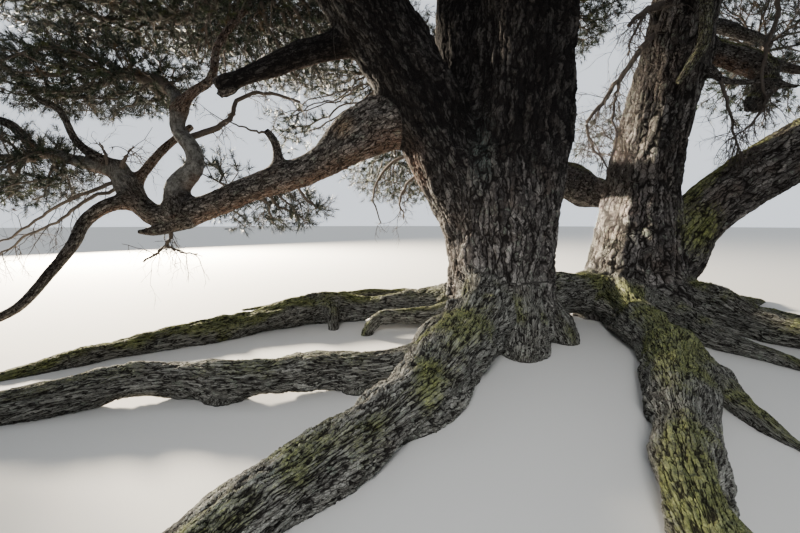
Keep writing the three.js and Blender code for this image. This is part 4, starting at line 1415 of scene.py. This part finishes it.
def dead_spray(strips, foot, heading, length, radius, forks, rng):
    """A crooked drooping twig that forks, from the foot."""
    steps = 5 if forks else 3
    course = [np.asarray(foot, float)]
    way = heading / np.linalg.norm(heading)
    for _ in range(steps):
        way = way + rng.normal(0, 0.20, 3) + (0, 0, -0.10)
        way /= np.linalg.norm(way)
        course.append(course[-1] + way * length / steps)
    course = np.array(course)
    course[:, 2] = np.maximum(course[:, 2], 0.05)
    strips.tube(course, np.linspace(radius, radius * 0.45, steps + 1), 3 if radius < 0.007 else 5)
    if forks == 0:
        return
    for at in range(1, steps + 1):
        if rng.random() < 0.62:
            turn = way + rng.normal(0, 0.75, 3)
            shorter = length * rng.uniform(0.4, 0.7)
            dead_spray(strips, course[at], turn, shorter, radius * 0.55, forks - 1, rng)


dead = Strips()
rng = np.random.default_rng(17)
# Dead limbs with a course of their own: their points, and their radii at the foot and the tip.
# Those on the right stem carry many fine twigs.
DEAD_LIMBS = {
    "right_fan": ([(2.0, 0.7, 3.5), (1.83, 0.6, 3.32), (1.52, 0.5, 2.95), (1.31, 0.5, 2.63),
                   (1.15, 0.5, 2.43), (1.17, 0.48, 2.2), (1.40, 0.48, 1.87)], 0.040, 0.010),
    "right_fan_low": ([(1.52, 0.5, 2.95), (1.42, 0.42, 2.66), (1.40, 0.4, 2.40), (1.52, 0.4, 2.16),
                       (1.58, 0.4, 2.0)], 0.020, 0.006),
    "right_stub": ([(2.1, 0.65, 3.82), (1.92, 0.55, 3.73), (1.72, 0.48, 3.64), (1.51, 0.4, 3.45)],
                   0.060, 0.020),
    "right_stub_low": ([(1.72, 0.46, 3.62), (1.58, 0.42, 3.36), (1.52, 0.4, 3.12)], 0.018, 0.006),
    "right_hanging": ([(2.65, 0.5, 4.7), (3.0, 0.5, 4.3), (3.22, 0.5, 3.95), (3.25, 0.45, 3.62),
                       (3.14, 0.42, 3.3), (3.12, 0.42, 3.1), (3.12, 0.42, 2.82), (3.18, 0.42, 2.59),
                       (3.03, 0.42, 2.36), (2.79, 0.42, 2.19)], 0.032, 0.010),
    "right_hanging_low": ([(2.68, 0.5, 2.92), (2.78, 0.45, 2.56), (2.90, 0.45, 2.2), (2.96, 0.45, 2.02)],
                          0.022, 0.008),
    "knot_upper": ([(-4.30, 0.28, 1.72), (-4.55, 0.2, 1.60), (-4.83, 0.15, 1.48), (-5.11, 0.15, 1.33),
                    (-5.45, 0.12, 1.10), (-5.7, 0.1, 0.99), (-6.1, 0.1, 0.9)], 0.026, 0.008),
    "knot_lower": ([(-4.28, 0.26, 1.64), (-4.68, 0.15, 1.46), (-4.96, 0.1, 1.23), (-5.33, 0.1, 1.07),
                    (-5.61, 0.08, 0.87), (-5.95, 0.05, 0.72)], 0.023, 0.008),
    "bend_snag": ([(-3.72, 0.2, 1.26), (-3.75, 0.18, 1.17), (-3.75, 0.16, 1.01), (-3.89, 0.15, 0.87),
                   (-4.06, 0.14, 0.76)], 0.032, 0.012),
    "bend_snag_right": ([(-3.8, 0.16, 0.95), (-3.62, 0.14, 0.88), (-3.42, 0.12, 0.86)], 0.018, 0.008),
    "snag_twig": ([(-2.57, 0.1, 2.2), (-2.72, 0.1, 2.22), (-2.9, 0.12, 2.28), (-3.1, 0.14, 2.36)],
                  0.016, 0.006),
    "knot_spike_left": ([(-4.42, 0.22, 1.85), (-4.45, 0.2, 2.0), (-4.5, 0.2, 2.12)], 0.028, 0.006),
    "knot_spike_right": ([(-4.28, 0.22, 1.85), (-4.2, 0.2, 1.97), (-4.12, 0.2, 2.08)], 0.030, 0.006),
    "cross_twig": ([(-3.5, 0.3, 2.2), (-3.2, 0.4, 2.34), (-3.1, 0.5, 2.49), (-3.07, 0.6, 2.69),
                    (-2.79, 0.8, 2.84), (-2.41, 1.0, 2.78)], 0.040, 0.018),
    "behind_limb": ([(-0.7, 0.3, 1.85), (-0.95, 0.5, 1.75), (-1.1, 0.7, 1.5), (-1.05, 0.85, 1.25)],
                    0.028, 0.008),
    "behind_limb_low": ([(-0.85, 0.35, 2.0), (-1.2, 0.6, 1.95), (-1.45, 0.8, 1.6), (-1.35, 0.9, 1.2)],
                        0.026, 0.008),
}
TWIGGY_LIMBS = [name for name in DEAD_LIMBS if name.startswith("right_")]
for name, (course, thick, thin) in DEAD_LIMBS.items():
    steps = 4 * len(course)
    line = np.array([course_point(course, step / steps) for step in range(steps + 1)])
    line[1:-1] += rng.normal(0, 0.006, (steps - 1, 3))
    dead.tube(line, np.linspace(thick, thin, steps + 1), 7)
    twiggy = 1.6 if name in TWIGGY_LIMBS else 0.5
    for at in np.repeat(np.arange(3, steps + 1), rng.poisson(twiggy, steps - 2)):
        ahead = line[at] - line[at - 1]
        heading = ahead / np.linalg.norm(ahead) * 0.5 + rng.normal(0, 0.7, 3) + (0, 0, -0.45)
        dead_spray(dead, line[at], heading, rng.uniform(0.15, 0.45), DEAD_RADIUS * 1.3, 2, rng)
DEAD_HOLDERS = {
    "foliage_west_roof": 30, "foliage_west_inner": 20, "foliage_west_mid": 12, "foliage_west_low": 10,
    "foliage_back_left": 14, "foliage_back_hang": 10, "foliage_back_right": 10, "foliage_back_middle": 6,
}
for node, count in DEAD_HOLDERS.items():
    place, radius = skeletons[node]
    thick = np.where((radius > 0.010) & (radius < 0.05))[0]
    for at in rng.choice(thick, count):
        heading = np.array((rng.normal(0, 1), rng.normal(0, 1), -0.35))
        dead_spray(dead, place[at], heading, rng.uniform(0.25, 0.6), DEAD_RADIUS, 2, rng)
rows = [np.concatenate(rows) for rows in dead.faces.values()]
dead_twigs = quick_mesh("dead_twigs", np.concatenate(dead.points), rows, [twig_bark])
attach(dead_twigs, "root")
